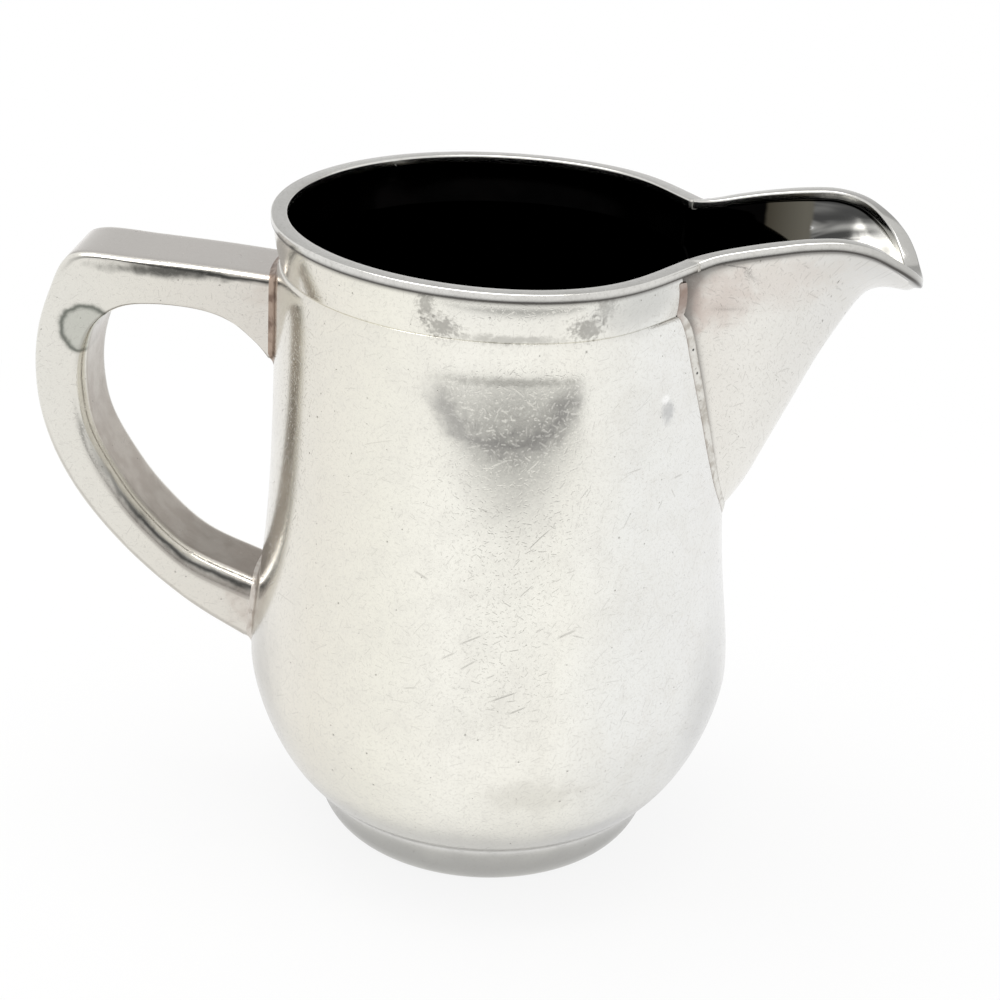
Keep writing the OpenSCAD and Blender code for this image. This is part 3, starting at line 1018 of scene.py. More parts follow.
@dataclass(frozen=True)
class DrawIn:
    """How far hand work pulled the wall in beside the spout and left the mouth a little uneven."""

    depth: float = 2.3
    middle: float = 34.0
    spread: float = 22.0
    low: float = 58.0
    high: float = 88.0
    reach: float = 8.0
    sag: float = 0.45
    sag_middle: float = 70.0
    sag_spread: float = 45.0
    sag_low: float = 84.0
    sag_high: float = 95.0

    def move(self, points: Points, profile: "Profile") -> Points:
        """Moves points from the true circle to where they are.

        Args:
            points: Points in millimetres.
            profile: The body's profile, which says where the wall is.

        Returns:
            The moved points.
        """
        x, y, z = points[..., 0], points[..., 1], points[..., 2]
        radius = np.hypot(x, y)
        angle = np.abs(np.degrees(np.arctan2(y, x)))
        beyond = radius - profile.radius(np.clip(z, 0.0, profile.wall_top))
        pull = self.depth * smooth(z, self.low, self.high)
        pull = pull * np.exp(-(((angle - self.middle) / self.spread) ** 2))
        pull = pull * (1 - smooth(beyond, 0.6, self.reach))
        scale = 1 - pull / np.maximum(radius, 1.0)
        dip = self.sag * np.exp(-(((angle - self.sag_middle) / self.sag_spread) ** 2))
        dip = dip * smooth(z, self.sag_low, self.sag_high) * (1 - smooth(beyond, 1.0, 6.0))
        return np.stack([x * scale, y * scale, z - dip], -1)


# ---------------------------------------------------------------- sub-assemblies


@dataclass(frozen=True)
class Profile:
    """The body's outline: foot band, belly, side, shoulder and neck band."""

    body_h: float = 95.0
    belly_r: float = 35.8
    belly_z: float = 27.0
    waist_r: float = 32.0
    fade: float = 17.5
    sheet: float = 1.0
    foot_r: float = 21.2
    foot_h: float = 7.3
    crease_r: float = 25.7
    crease_round: float = 4.0
    foot_face: float = 1.4
    neck_h: float = 7.3
    shoulder_h: float = 4.5
    neck_step: float = 0.75
    neck_flare: float = 0.95
    wire_w: float = 2.3
    wire_h: float = 1.3

    @property
    def wall_top(self) -> float:
        """Height of the wall's top edge, under the wire."""
        return self.body_h - self.wire_h

    @property
    def neck_z(self) -> float:
        """Height of the neck crease."""
        return self.body_h - self.neck_h

    @property
    def wire_z(self) -> float:
        """Height of the middle of the mouth's wire."""
        return self.body_h - self.wire_h / 2

    @property
    def wire_r(self) -> float:
        """Radius of the middle of the mouth's wire."""
        return float(self.radius(self.wall_top)) + self.wire_w * (0.18 - 0.5)

    def side(self, z: np.ndarray) -> np.ndarray:
        """Radius of the plain side at a height."""
        return self.waist_r + (self.belly_r - self.waist_r) / (1 + ((z - self.belly_z) / self.fade) ** 2)

    def foot(self, z: np.ndarray, inset: float = 0.0) -> np.ndarray:
        """Radius of the foot band at a height."""
        share = np.clip(z / self.foot_h, 0.0, 1.0)
        return self.foot_r - inset + (self.crease_r - self.foot_r) * np.sqrt(1 - (1 - share) ** 2)

    def belly(self, z: np.ndarray, sheet: float = 0.0) -> np.ndarray:
        """Radius of the belly's underside at a height."""
        u = np.clip((self.belly_z - z) / (self.belly_z - self.foot_h - sheet), 0.0, 1.0)
        return self.crease_r - sheet + (self.belly_r - self.crease_r) * (1 - u**1.5) ** (1 / 1.5)

    def radius(self, z: np.ndarray | float) -> np.ndarray:
        """The body's outer radius.

        Args:
            z: Height or heights, from the foot to the top of the wall.

        Returns:
            The radius at each height.
        """
        z = np.asarray(z, float)
        shoulder_z = self.neck_z - self.shoulder_h
        roll = np.clip((z - shoulder_z) / self.shoulder_h, 0.0, 1.0)
        shoulder = self.side(z) - self.neck_step * (1 - np.sqrt(1 - roll**2))
        rise = np.clip((z - self.neck_z) / (self.wall_top - self.neck_z), 0.0, 1.0)
        neck = self.side(np.asarray(self.neck_z)) - self.neck_step
        neck = neck + self.neck_flare * np.sin(np.pi / 2 * rise)
        low = np.where(z < self.foot_h, self.foot(z), self.belly(z))
        high = np.where(z < self.neck_z, shoulder, neck)
        return np.where(z < self.belly_z, low, high)

    def crease(self, share: np.ndarray) -> Points:
        """The rounding between the foot band and the belly.

        Args:
            share: The places wanted, from 0 at the foot to 1 at the belly.

        Returns:
            Rows of radius and height.
        """
        low, high = self.foot_h - self.crease_round, self.foot_h + 0.4 * self.crease_round
        a = np.array([float(self.foot(np.asarray(low))), low])
        b = np.array([self.crease_r, self.foot_h])
        c = np.array([float(self.belly(np.asarray(high))), high])
        u = share[:, None]
        return (1 - u) ** 2 * a + 2 * u * (1 - u) * b + u**2 * c


@dataclass
class Body:
    """The spun cup with its opening for the spout, and the plate under it."""

    profile: Profile
    draw_in: DrawIn
    spout: "Spout"
    columns: int = 288
    skin: SilverPlate = SilverPlate(
        "worn_silver_body",
        # Warm on the handle's side, cooler on the spout's; the bright middle and the darker ends are
        # painted light and painted shade of the wall turning from the front to the sides.
        tones=(
            (-36.0, (0.66, 0.645, 0.605)),
            (-31.0, (0.79, 0.765, 0.71)),
            (-22.0, (0.81, 0.78, 0.70)),
            (-13.0, (0.87, 0.85, 0.76)),
            (-2.0, (0.94, 0.925, 0.85)),
            (12.0, (0.93, 0.915, 0.84)),
            (21.0, (0.86, 0.86, 0.83)),
            (31.0, (0.83, 0.83, 0.815)),
            (36.0, (0.70, 0.70, 0.695)),
        ),
        bands=(
            # Faint dark line in the neck crease: painted crease shade.
            (87.5, 0.35, 0.10, (0.45, 0.43, 0.40)),
            # Dark foot band: painted shade, for the shadowed floor the foot mirrors.
            (3.6, 6.2, 0.92, (0.44, 0.435, 0.42)),
            # Light line above the foot: painted light over the dark line the crease mirrors.
            (7.7, 0.9, 0.75, (0.90, 0.89, 0.87)),
            # Darker low on the belly: painted shade of its underside.
            (11.0, 2.6, 0.62, (0.60, 0.59, 0.56)),
        ),
        stains_and_shading=(
            # A little darker neck front: painted reflection of the floor below it.
            SpotOfStainOrShade((4.6, -31.4, 91.0), (13.5, 6.0, 4.8), (0.78, 0.77, 0.73), 0.30, 0.25),
            # Four dark spots on the neck: painted reflection of a dark thing in front.
            SpotOfStainOrShade((-7.3, -31.6, 92.0), (1.5, 3.0, 2.4), (0.17, 0.16, 0.145), 0.55, 2.4, 0.5),
            SpotOfStainOrShade((-5.2, -31.4, 89.2), (2.8, 3.0, 2.0), (0.17, 0.16, 0.145), 0.58, 2.4, 0.5),
            SpotOfStainOrShade((15.4, -28.1, 92.4), (1.6, 3.0, 2.4), (0.17, 0.16, 0.145), 0.58, 2.4, 0.5),
            SpotOfStainOrShade((13.2, -28.5, 89.4), (2.8, 3.0, 2.0), (0.17, 0.16, 0.145), 0.62, 2.4, 0.5),
            # Dark line just over the neck crease: painted crease shade.
            SpotOfStainOrShade((3.8, -32.0, 88.1), (9.5, 4.0, 0.8), (0.30, 0.29, 0.265), 0.5, 1.6, 0.9),
            # Dark line at the top of the front patch: painted reflection.
            SpotOfStainOrShade((4.6, -31.8, 82.5), (11.5, 4.0, 0.8), (0.34, 0.33, 0.30), 0.48, 1.5, 0.9),
            # Grey spot: painted shadow under a curled flake; the pale spot above it is a painted highlight
            # on the flake.
            SpotOfStainOrShade((24.2, -19.5, 75.3), (1.5, 1.8, 2.0), (0.47, 0.475, 0.48), 0.65, 1.3, 0.9),
            SpotOfStainOrShade((23.9, -19.8, 77.1), (0.9, 1.2, 0.8), (0.97, 0.965, 0.95), 0.9, 1.0, 0.5),
            SpotOfStainOrShade((25.8, -19.4, 90.0), (1.6, 2.0, 5.0), (0.52, 0.42, 0.37), 0.5),
            # Greyer right part of the neck: painted reflection.
            SpotOfStainOrShade((22.0, -24.0, 91.2), (13.0, 9.0, 4.6), (0.57, 0.57, 0.545), 0.75, 0.4),
            # A soft warm tint and a grey patch low on the front.
            SpotOfStainOrShade((10.0, -33.0, 22.0), (8.0, 8.0, 3.6), (0.62, 0.60, 0.54), 0.35, 1.6),
            SpotOfStainOrShade((18.0, -22.0, 11.0), (11.0, 9.0, 3.6), (0.58, 0.58, 0.58), 0.55, 1.2),
            # Darker left and right sides of the belly: painted shade.
            SpotOfStainOrShade((-33.0, -14.0, 24.0), (9.0, 13.0, 18.0), (0.50, 0.485, 0.455), 0.70, 0.4),
            SpotOfStainOrShade((34.0, -13.0, 24.0), (7.0, 12.0, 18.0), (0.55, 0.55, 0.545), 0.50, 0.4),
        ),
        marks=(
            RingMark(
                (-48.4, 82.2),
                (9.2, 8.8),
                border=(0.42, 0.41, 0.39),
                middle=(0.60, 0.60, 0.59),
                border_share=0.70,
                middle_share=0.0,
                thickness=0.19,
                ragged=0.60,
                opening=(0.0, 1.0),
                open_from=0.12,
            ),
        ),
        gouges=(
            Gouge(-38.6, 46.6, 20.0, 3.4, 0.26),
            Gouge(-36.9, 46.0, -20.0, 2.4, 0.14),
            Gouge(-51.4, 45.9, 28.0, 4.0),
            Gouge(-54.2, 43.3, 33.0, 2.6),
            Gouge(-51.5, 42.3, 36.0, 3.0),
            Gouge(-59.0, 37.8, 14.0, 2.2),
            Gouge(-46.7, 38.0, 22.0, 4.4),
            Gouge(-44.9, 36.0, 24.0, 3.0),
            Gouge(-30.2, 33.0, 52.0, 2.2, 0.12),
            Gouge(-29.1, 68.6, 5.0, 3.2, 0.14),
            Gouge(-20.4, 65.7, 0.0, 2.4, 0.20),
            Gouge(-21.5, 63.6, -60.0, 2.0, 0.14),
            Gouge(-24.2, 62.6, 55.0, 2.0, 0.14),
            Gouge(-58.5, 54.3, -25.0, 2.8, 0.26),
            Gouge(-42.9, 60.7, 45.0, 4.5, 0.12),
            Gouge(-30.1, 61.8, 60.0, 3.0, 0.12),
        ),
    )
    inside: PaintedDarkInside = PaintedDarkInside("black_inside")

    def outline(self) -> tuple[Points, Points]:
        """The wall's outer and inner outline.

        Returns:
            Rows of radius and height: the outside from the foot up, and the inside from the mouth down.
        """
        p = self.profile
        foot = (p.foot_h - p.crease_round) * np.linspace(0, 1, 22) ** 2
        crease = p.crease(np.linspace(0, 1, 9)[1:])
        belly_from = crease[-1, 1]
        belly = belly_from + (p.belly_z - belly_from) * np.linspace(0, 1, 44)[1:] ** 2
        side = np.linspace(p.belly_z, p.neck_z - p.shoulder_h, 90)[1:]
        roll = p.neck_z - p.shoulder_h * np.linspace(1, 0, 22)[1:] ** 2
        neck = np.linspace(p.neck_z, p.wall_top, 18)[1:]
        heights = np.concatenate([belly, side, roll, neck])
        outer = np.vstack([
            np.stack([p.foot(foot), foot], -1),
            crease,
            np.stack([p.radius(heights), heights], -1),
        ])
        down = np.concatenate([side, roll, neck])[::-1]
        hollow_from = p.foot_h + p.sheet
        hollow = hollow_from + (p.belly_z - hollow_from) * np.linspace(1, 0, 30) ** 2
        bore = p.foot_h * np.linspace(1, 0, 16) ** 2
        inset = p.foot_face + (p.sheet - p.foot_face) * bore / p.foot_h
        inner = np.vstack([
            np.stack([p.radius(down) - p.sheet, down], -1),
            np.stack([p.belly(hollow, p.sheet), hollow], -1),
            np.stack([p.foot(bore) - inset, bore], -1),
        ])
        return outer, inner

    def grid(self, outline: Points) -> Points:
        """Turns an outline round the axis, leaving the spout's opening free.

        Args:
            outline: Rows of radius and height.

        Returns:
            A row of points for each row of the outline.
        """
        radius, height = outline[:, :1], outline[:, 1:]
        half = self.spout.opening(outline[:, 1])[:, None]
        share = np.linspace(0, 1, self.columns)[None, :]
        angle = half + (2 * np.pi - 2 * half) * share
        points = np.stack([radius * np.cos(angle), radius * np.sin(angle), height + 0 * angle], -1)
        return self.draw_in.move(points, self.profile)

    def build(self) -> bpy.types.Object:
        """Makes the wall.

        Returns:
            The piece.
        """
        outer, inner = self.outline()
        maker = MeshMaker("body_skin")
        # Painted shadow line on the wall just under the mouth wire.
        wear_and_shade = np.exp(-((outer[:, 1:] - self.profile.wall_top) / 0.55) ** 2)
        outside = maker.add(self.grid(outer), wear_and_shade)
        inside = maker.add(self.grid(inner))
        maker.skin(outside, 0)
        maker.skin(inside, 1)
        maker.skin(np.stack([outside[-1], inside[0]]), 1)
        maker.skin(np.stack([inside[-1], outside[0]]), 0)
        cut_out = [i for i, (_, z) in enumerate(outer) if z >= self.spout.foot_z]
        cut_in = [int(np.argmin(np.abs(inner[: len(inner) // 2 + 60, 1] - outer[i, 1]))) for i in cut_out]
        for column in (0, -1):
            maker.skin(np.stack([outside[cut_out, column], inside[cut_in, column]]), 1)
        piece = maker.make([self.skin.material(), self.inside.material()], crisp=50.0)
        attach(piece, "root")
        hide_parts("body_shell")
        return piece

    def dress_base(self) -> None:
        """Gives the plate under the body and its solder their finishes."""
        plate = SilverPlate(
            "dull_silver_base",
            shade=(0.52, 0.49, 0.44),
            roughness=0.30,
            wrap=Wrap.ALONG,
            # Painted shade: the plate's upper face, inside the cup, goes near-black like the inside.
            painted_dark_above=True,
        )
        bead = SolderBead("base_solder_finish")
        for node, material in (("base_disc", plate.material()), ("base_solder", bead.material())):
            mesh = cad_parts[node].data
            mesh.materials.clear()
            mesh.materials.append(material)


@dataclass
class Wire:
    """The flat wire of the mouth and of the spout's edge."""

    profile: Profile
    draw_in: DrawIn
    spout: "Spout"
    round_share: float = 0.22
    mouth_rings: int = 260
    edge_rings: int = 240
    joint_half: float = 0.014
    joint_fuller: float = 0.03

    def section(self) -> Points:
        """The wire's section.

        Returns:
            Rows of distance outwards and height.
        """
        half_w, half_h = self.profile.wire_w / 2, self.profile.wire_h / 2
        r = self.profile.wire_h * self.round_share
        corners = (
            (half_w - r, half_h - r, 0),
            (r - half_w, half_h - r, 90),
            (r - half_w, r - half_h, 180),
            (half_w - r, r - half_h, 270),
        )
        rows = []
        for x, y, start in corners:
            turn = np.radians(np.linspace(start, start + 90, 6))
            rows.append(np.stack([x + r * np.cos(turn), y + r * np.sin(turn)], -1))
        return np.vstack(rows)

    def sweep(
        self, name: str, path: Points, out: Points, up: Points, finish: SilverPlate
    ) -> bpy.types.Object:
        """Draws the section along a path.

        Args:
            name: The piece's name.
            path: The middle of the wire.
            out: The direction away from the mouth at each point of the path.
            up: The direction of the wire's top at each point of the path.
            finish: The wire's finish.

        Returns:
            The piece.
        """
        section = self.section()
        rings = path[:, None] + out[:, None] * section[None, :, :1] + up[:, None] * section[None, :, 1:]
        # The wire's lower outer corner gets painted shade, which narrows its lit edge.
        wear_and_shade = np.where(np.arange(len(section)) >= 3 * len(section) // 4, 1.0, 0.0)
        maker = MeshMaker(name)
        maker.tube(self.draw_in.move(rings, self.profile), wear_and_shade)
        piece = maker.make([finish.material()], crisp=60.0)
        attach(piece, "root")
        return piece

    def build(self) -> list[bpy.types.Object]:
        """Makes the two wires and the solder where they meet.

        Returns:
            The pieces.
        """
        p, s = self.profile, self.spout
        finish = SilverPlate(
            "silver_wire_rim",
            tones=(
                (0.0, (0.74, 0.73, 0.70)),
                (44.0, (0.70, 0.69, 0.66)),
                (55.0, (0.50, 0.495, 0.475)),
            ),
            shade=(0.46, 0.45, 0.42),
            roughness=0.16,
            wrap=Wrap.ALONG,
            marked=0.4,
        )
        start = math.radians(s.joint_angle)
        angle = np.linspace(start, 2 * np.pi - start, self.mouth_rings)
        out = np.stack([np.cos(angle), np.sin(angle), 0 * angle], -1)
        up = np.tile([0.0, 0.0, 1.0], (len(angle), 1))
        path = out * p.wire_r + up * p.wire_z
        mouth = self.sweep("mouth_wire", path, out, up, finish)
        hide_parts("mouth_rim_wire")
        share = np.linspace(0, 1, self.edge_rings)
        edge = self.sweep("spout_wire", s.edge(share), s.edge_out(share), s.edge_up(share), finish)
        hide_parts("spout_edge_wire")
        return [mouth, edge, self.joints()]

    def joints(self) -> bpy.types.Object:
        """Makes the two small lumps of solder between the wires' ends.

        Returns:
            The piece.
        """
        p, s = self.profile, self.spout
        section = self.section()
        maker = MeshMaker("rim_joints")
        for side in (1, -1):
            across = np.linspace(-1, 1, 9)
            angle = math.radians(side * s.joint_angle) + across * self.joint_half
            fuller = 1 + self.joint_fuller * np.sqrt(np.clip(1 - across**2, 0, 1))
            out = np.stack([np.cos(angle), np.sin(angle), 0 * angle], -1)
            up = np.array([0.0, 0.0, 1.0])
            rings = out[:, None] * (p.wire_r + section[None, :, :1] * fuller[:, None, None])
            rings = rings + up * (p.wire_z + section[None, :, 1:] * fuller[:, None, None])
            maker.tube(self.draw_in.move(rings, p))
        finish = SolderBead("rim_joint_finish", tone=(0.70, 0.69, 0.655), wear_and_shade=(0.50, 0.47, 0.43))
        piece = maker.make([finish.material()], crisp=60.0)
        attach(piece, "root")
        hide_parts("rim_joint_solder")
        return piece


@dataclass
class Spout:
    """The pouring spout: a bent sheet let into the wall, from a pointed foot up to the lip."""

    profile: Profile
    draw_in: DrawIn
    reach: float = 56.3
    drop: float = 41.7
    seam_w: float = 37.6
    channel_w: float = 24.2
    rise: float = 3.35
    fall: float = 7.6
    sheet: float = 0.9
    joint_angle: float = 29.0
    nose: float = 0.36
    lip_nose: float = 0.48
    bend: float = 0.45
    joint_share: float = 7 / 11
    columns: int = 30
    low_ribs: int = 80
    high_ribs: int = 110
    bead_w: float = 0.72
    bead_crown: float = 0.30
    bead_root: float = 0.25
    pit_heights: tuple[float, float] = (82.6, 79.0)
    pit_radius: float = 0.24
    solder: SolderBead = SolderBead(
        "seam_bead_finish",
        tone=(0.76, 0.745, 0.70),
        wear_and_shade=(0.42, 0.385, 0.335),
        border=(0.26, 0.21, 0.18),
        stains_and_shading=(SpotOfStainOrShade((25.4, -18.0, 90.0), (3.0, 3.4, 5.5), (0.30, 0.215, 0.18), 0.85),),
    )

    SEAM = np.array([
        [0, 0], [0.27, 0.09], [0.435, 0.175], [0.535, 0.26], [0.61, 0.35], [0.675, 0.46],
        [0.735, 0.57], [0.795, 0.68], [0.855, 0.79], [0.92, 0.89], [1, 1],
    ])
    KEEL = np.array([
        [0, 0.008], [0.115, 0.115], [0.21, 0.24], [0.295, 0.35], [0.38, 0.46], [0.47, 0.58],
        [0.56, 0.68], [0.645, 0.767], [0.74, 0.838], [0.85, 0.86], [0.945, 0.852], [1.01, 0.85],
    ])
    EDGE = np.array([
        [0, 0, 0, 0], [0.085, 1.15, 0.19, 0], [0.21, 1.09, 0.49, 0], [0.345, 1.04, 0.76, 0],
        [0.485, 1.015, 0.94, 0], [0.625, 1, 1, 0], [0.755, 0.96, 1, 0.1], [0.858, 0.868, 1, 0.325],
        [0.931, 0.711, 1, 0.57], [0.973, 0.505, 1, 0.79], [0.993, 0.265, 1, 0.95], [1, 0, 1, 1],
    ])

    @property
    def foot_z(self) -> float:
        """Height of the spout's lower point."""
        return self.profile.body_h - self.drop

    def seam(self, share: np.ndarray) -> Points:
        """The seam on the wall.

        Args:
            share: The places wanted, from 0 at the lower point to 1 at the mouth.

        Returns:
            Rows of half width and height.
        """
        table = np.vstack([self.SEAM[:0:-1] * [-1, 1], self.SEAM])
        rows = along(table, 0.5 + np.asarray(share, float) / 2)
        top = self.profile.wall_top
        return rows * [self.seam_w / 2, top - self.foot_z] + [0, self.foot_z]

    def opening(self, height: np.ndarray) -> np.ndarray:
        """How wide the wall is open.

        Args:
            height: The heights wanted.

        Returns:
            Half the opening's angle at each height, in radians.
        """
        rows = self.seam(np.linspace(0, 1, 400))
        half = np.interp(height, rows[:, 1], rows[:, 0], left=0.0)
        return np.arcsin(half / self.profile.radius(np.clip(height, self.foot_z, None)))

    def on_wall(self, rows: Points, depth: float = 0.0) -> Points:
        """Points of the seam on the wall.

        Args:
            rows: Rows of half width and height.
            depth: How deep in the wall the points lie.

        Returns:
            The points.
        """
        y, z = rows[:, 0], rows[:, 1]
        radius = self.profile.radius(z) - depth
        return np.stack([np.sqrt(radius**2 - y**2), y, z], -1)

    def keel(self, share: np.ndarray) -> Points:
        """Points of the keel.

        Args:
            share: The places wanted, from 0 at the lower point to 1 at the lip.

        Returns:
            A row for each place.
        """
        wall = float(self.profile.radius(self.foot_z)) + 0.05
        rows = along(self.KEEL, share)
        x = wall + rows[:, 0] * (self.reach - wall)
        return np.stack([x, 0 * x, self.foot_z + rows[:, 1] * self.drop], -1)

    def keel_normal(self, share: np.ndarray) -> Points:
        """The direction outwards from the keel.

        Args:
            share: The places wanted, from 0 at the lower point to 1 at the lip.

        Returns:
            A row for each place.
        """
        ahead, behind = np.minimum(share + 0.01, 1), np.maximum(share - 0.01, 0)
        along_keel = unit(self.keel(ahead) - self.keel(behind))
        return np.stack([along_keel[:, 2], 0 * share, -along_keel[:, 0]], -1)

    def edge(self, share: np.ndarray) -> Points:
        """The middle of the spout's wire.

        Args:
            share: The places wanted, from 0 at the joint at +Y round the lip to 1 at the other joint.

        Returns:
            A row for each place.
        """
        p = self.profile
        joint = math.radians(self.joint_angle)
        start = np.array([math.cos(joint), math.sin(joint)]) * p.wire_r
        x = start[0] + (self.reach - start[0]) * self.EDGE[:, 0]
        y = self.EDGE[:, 1] * self.channel_w / 2
        y[0] = start[1]
        z = p.wire_z + self.EDGE[:, 2] * self.rise - self.EDGE[:, 3] * self.fall
        half = np.stack([x, y, z], -1)
        return along(np.vstack([half, flipped(half[-2::-1])]), np.asarray(share, float))

    def edge_tangent(self, share: np.ndarray) -> Points:
        """The direction along the wire."""
        share = np.asarray(share, float)
        return unit(self.edge(np.minimum(share + 0.004, 1)) - self.edge(np.maximum(share - 0.004, 0)))

    def edge_out(self, share: np.ndarray) -> Points:
        """The level direction away from the channel.

        Args:
            share: The places wanted, as for the edge.

        Returns:
            A row for each place.
        """
        share = np.asarray(share, float)
        tangent = self.edge_tangent(share)
        out = unit(np.stack([-tangent[:, 1], tangent[:, 0], 0 * share], -1))
        joint = math.radians(self.joint_angle)
        at_joint = np.array([math.cos(joint), math.sin(joint), 0.0])
        near = np.minimum(share, 1 - share)[:, None]
        other = np.where(share[:, None] < 0.5, at_joint, flipped(at_joint))
        return unit(out + (other - out) * (1 - smooth(near, 0.0, 0.025)))

    def edge_up(self, share: np.ndarray) -> Points:
        """The direction of the wire's top."""
        return unit(np.cross(self.edge_tangent(share), self.edge_out(share)))

    def half_rib(self, keel: Points, edge: Points, nose: np.ndarray) -> Points:
        """Ribs from the keel to the edge at +Y.

        Args:
            keel: A point of the keel for each rib.
            edge: The rib's other end.
            nose: How round each rib is at the keel.

        Returns:
            Rows of points, one row a rib.
        """
        first = keel + np.stack([0 * nose, nose * edge[:, 1], 0 * nose], -1)
        second = edge + (first - edge) * self.bend
        u = np.linspace(0, 1, self.columns)[None, :, None]
        keel, first, second, edge = (side[:, None] for side in (keel, first, second, edge))
        start = (1 - u) ** 3 * keel + 3 * u * (1 - u) ** 2 * first
        return start + 3 * u**2 * (1 - u) * second + u**3 * edge

    def eased(self, side: Points, rounds: int = 160) -> Points:
        """Evens the ribs along the spout, so that the sheet has no fold between its two parts.

        Args:
            side: Rows of points, one row a rib, from the keel to the edge.
            rounds: How often each point moves towards its neighbours.

        Returns:
            The rows, with the keel, the edge, the first rib and the last rib where they were.
        """
        share = np.linspace(0, 1, self.columns)[None, :, None]
        weight = smooth(share, 0.0, 0.3) * smooth(1 - share, 0.0, 0.12) * 0.5
        side = side.copy()
        for _ in range(rounds):
            side[1:-1] += ((side[2:] + side[:-2]) / 2 - side[1:-1]) * weight
        return side

    def ribs(self, depth: float) -> Points:
        """All ribs from side to side, from the lower point to the lip.

        Args:
            depth: 0 for the outside, or the sheet's thickness for the inside.

        Returns:
            Rows of points, one row a rib.
        """
        p = self.profile
        low = np.linspace(0.001, 1, self.low_ribs) ** 1.3
        high = np.linspace(0.01, 0.988, self.high_ribs)
        seam = self.on_wall(self.seam(low), p.sheet if depth else 0.0)
        out = self.edge_out(high / 2) * (self.sheet / 2 - depth)
        wire = self.edge(high / 2) + out - self.edge_up(high / 2) * (p.wire_h / 2 - 0.02)
        share = np.concatenate([low * self.joint_share, self.joint_share + high * (1 - self.joint_share)])
        lip = np.clip((share - self.joint_share) / (1 - self.joint_share), 0, 1)
        thin = 1 - 0.45 * lip
        keel = self.keel(share) - self.keel_normal(share) * (depth * thin)[:, None]
        nose = self.nose + (self.lip_nose - self.nose) * np.minimum(1, 1.5 * lip)
        side = self.eased(self.half_rib(keel, np.vstack([seam, wire]), nose))
        whole = np.concatenate([flipped(side[:, :0:-1]), side], 1)
        return self.draw_in.move(whole, p)

    def build(self) -> list[bpy.types.Object]:
        """Makes the sheet and the bead along its seam.

        Returns:
            The pieces.
        """
        outer, inner = self.ribs(0.0), self.ribs(self.sheet)
        maker = MeshMaker("spout_skin")
        # Painted shadow line along the sheet's edges, beside the wire and the seam.
        wear_and_shade = np.zeros(2 * self.columns - 1)
        wear_and_shade[[0, 1, 2, -3, -2, -1]] = (1.0, 0.85, 0.35, 0.35, 0.85, 1.0)
        outside, inside = maker.add(outer, wear_and_shade), maker.add(inner)
        maker.skin(outside, 0)
        maker.skin(inside, 1)
        for side in (0, -1):
            maker.skin(np.stack([outside[:, side], inside[:, side]]), 0)
            maker.skin(np.stack([outside[side], inside[side]]), 0)
        stains_and_shading = (
            SpotOfStainOrShade((27.2, -17.8, 89.5), (2.6, 4.0, 6.5), (0.42, 0.31, 0.265), 0.75),
            SpotOfStainOrShade((30.5, -16.0, 89.5), (6.5, 6.0, 6.0), (0.60, 0.51, 0.46), 0.65),
            SpotOfStainOrShade((38.0, -12.5, 92.0), (12.0, 9.0, 5.0), (0.68, 0.62, 0.57), 0.5),
        )
        finish = SilverPlate(
            "worn_silver_spout",
            tones=(
                # The ramp darkens and cools towards the lip: painted shade where the flank turns away.
                (26.0, (0.80, 0.77, 0.715)),
                (34.0, (0.83, 0.815, 0.77)),
                (50.0, (0.72, 0.715, 0.70)),
            ),
            wrap=Wrap.FLANK,
            stroke_depth=0.52,
            stains_and_shading=stains_and_shading,
        )
        inside_finish = PaintedDarkInside("black_spout_inside")
        piece = maker.make([finish.material(), inside_finish.material()], crisp=50.0)
        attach(piece, "root")
        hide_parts("spout_sheet")
        return [piece, self.bead()]

    def bead(self) -> bpy.types.Object:
        """Makes the fillet of solder along the seam.

        Returns:
            The piece.
        """
        share = np.linspace(0.0, 0.985, 150)
        rows = self.seam(share)
        step = self.seam(np.minimum(share + 0.01, 1)) - self.seam(np.maximum(share - 0.01, 0))
        step[0] = [1.0, 0.0]
        step = unit(step)
        away = np.stack([step[:, 1], -step[:, 0]], -1)
        on_body = self.on_wall(rows + away * self.bead_w)
        on_seam = self.on_wall(rows)
        share_keel = np.maximum(share, 0.001) * self.joint_share
        side = self.half_rib(self.keel(share_keel), on_seam, np.full(len(share), self.nose))
        inwards = unit(side[:, -2] - side[:, -1])
        on_spout = on_seam + inwards * self.bead_w
        lift = unit(np.stack([on_seam[:, 0], on_seam[:, 1], 0 * share], -1))
        crown = on_seam + lift * self.bead_crown
        u = np.linspace(0, 1, 7)[None, :, None]
        arc = (1 - u) ** 2 * on_body[:, None] + 2 * u * (1 - u) * crown[:, None]
        arc = arc + u**2 * on_spout[:, None]
        under = (on_seam - lift * self.bead_root)[:, None]
        ring = np.concatenate([arc, under], 1)
        # Painted shade at the bead's two edges, where it meets the wall and the sheet.
        wear_and_shade = np.array([1.0, 0.35, 0.0, 0.0, 0.0, 0.3, 0.9, 1.0])
        maker = MeshMaker("seam_bead")
        for points in (ring, flipped(ring)):
            maker.tube(self.draw_in.move(points, self.profile), wear_and_shade)
        holes = self.draw_in.move(flipped((on_body + 2 * crown + on_spout) / 4), self.profile)
        nearest = (holes[int(np.argmin(np.abs(holes[:, 2] - z)))] for z in self.pit_heights)
        pits = tuple(
            SpotOfStainOrShade(tuple(place.tolist()), (self.pit_radius,) * 3, (0.012,) * 3, 1.0, 0.1)
            for place in nearest
        )
        piece = maker.make([replace(self.solder, stains_and_shading=self.solder.stains_and_shading + pits).material()])
        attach(piece, "root")
        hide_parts("spout_seam_solder")
        return piece


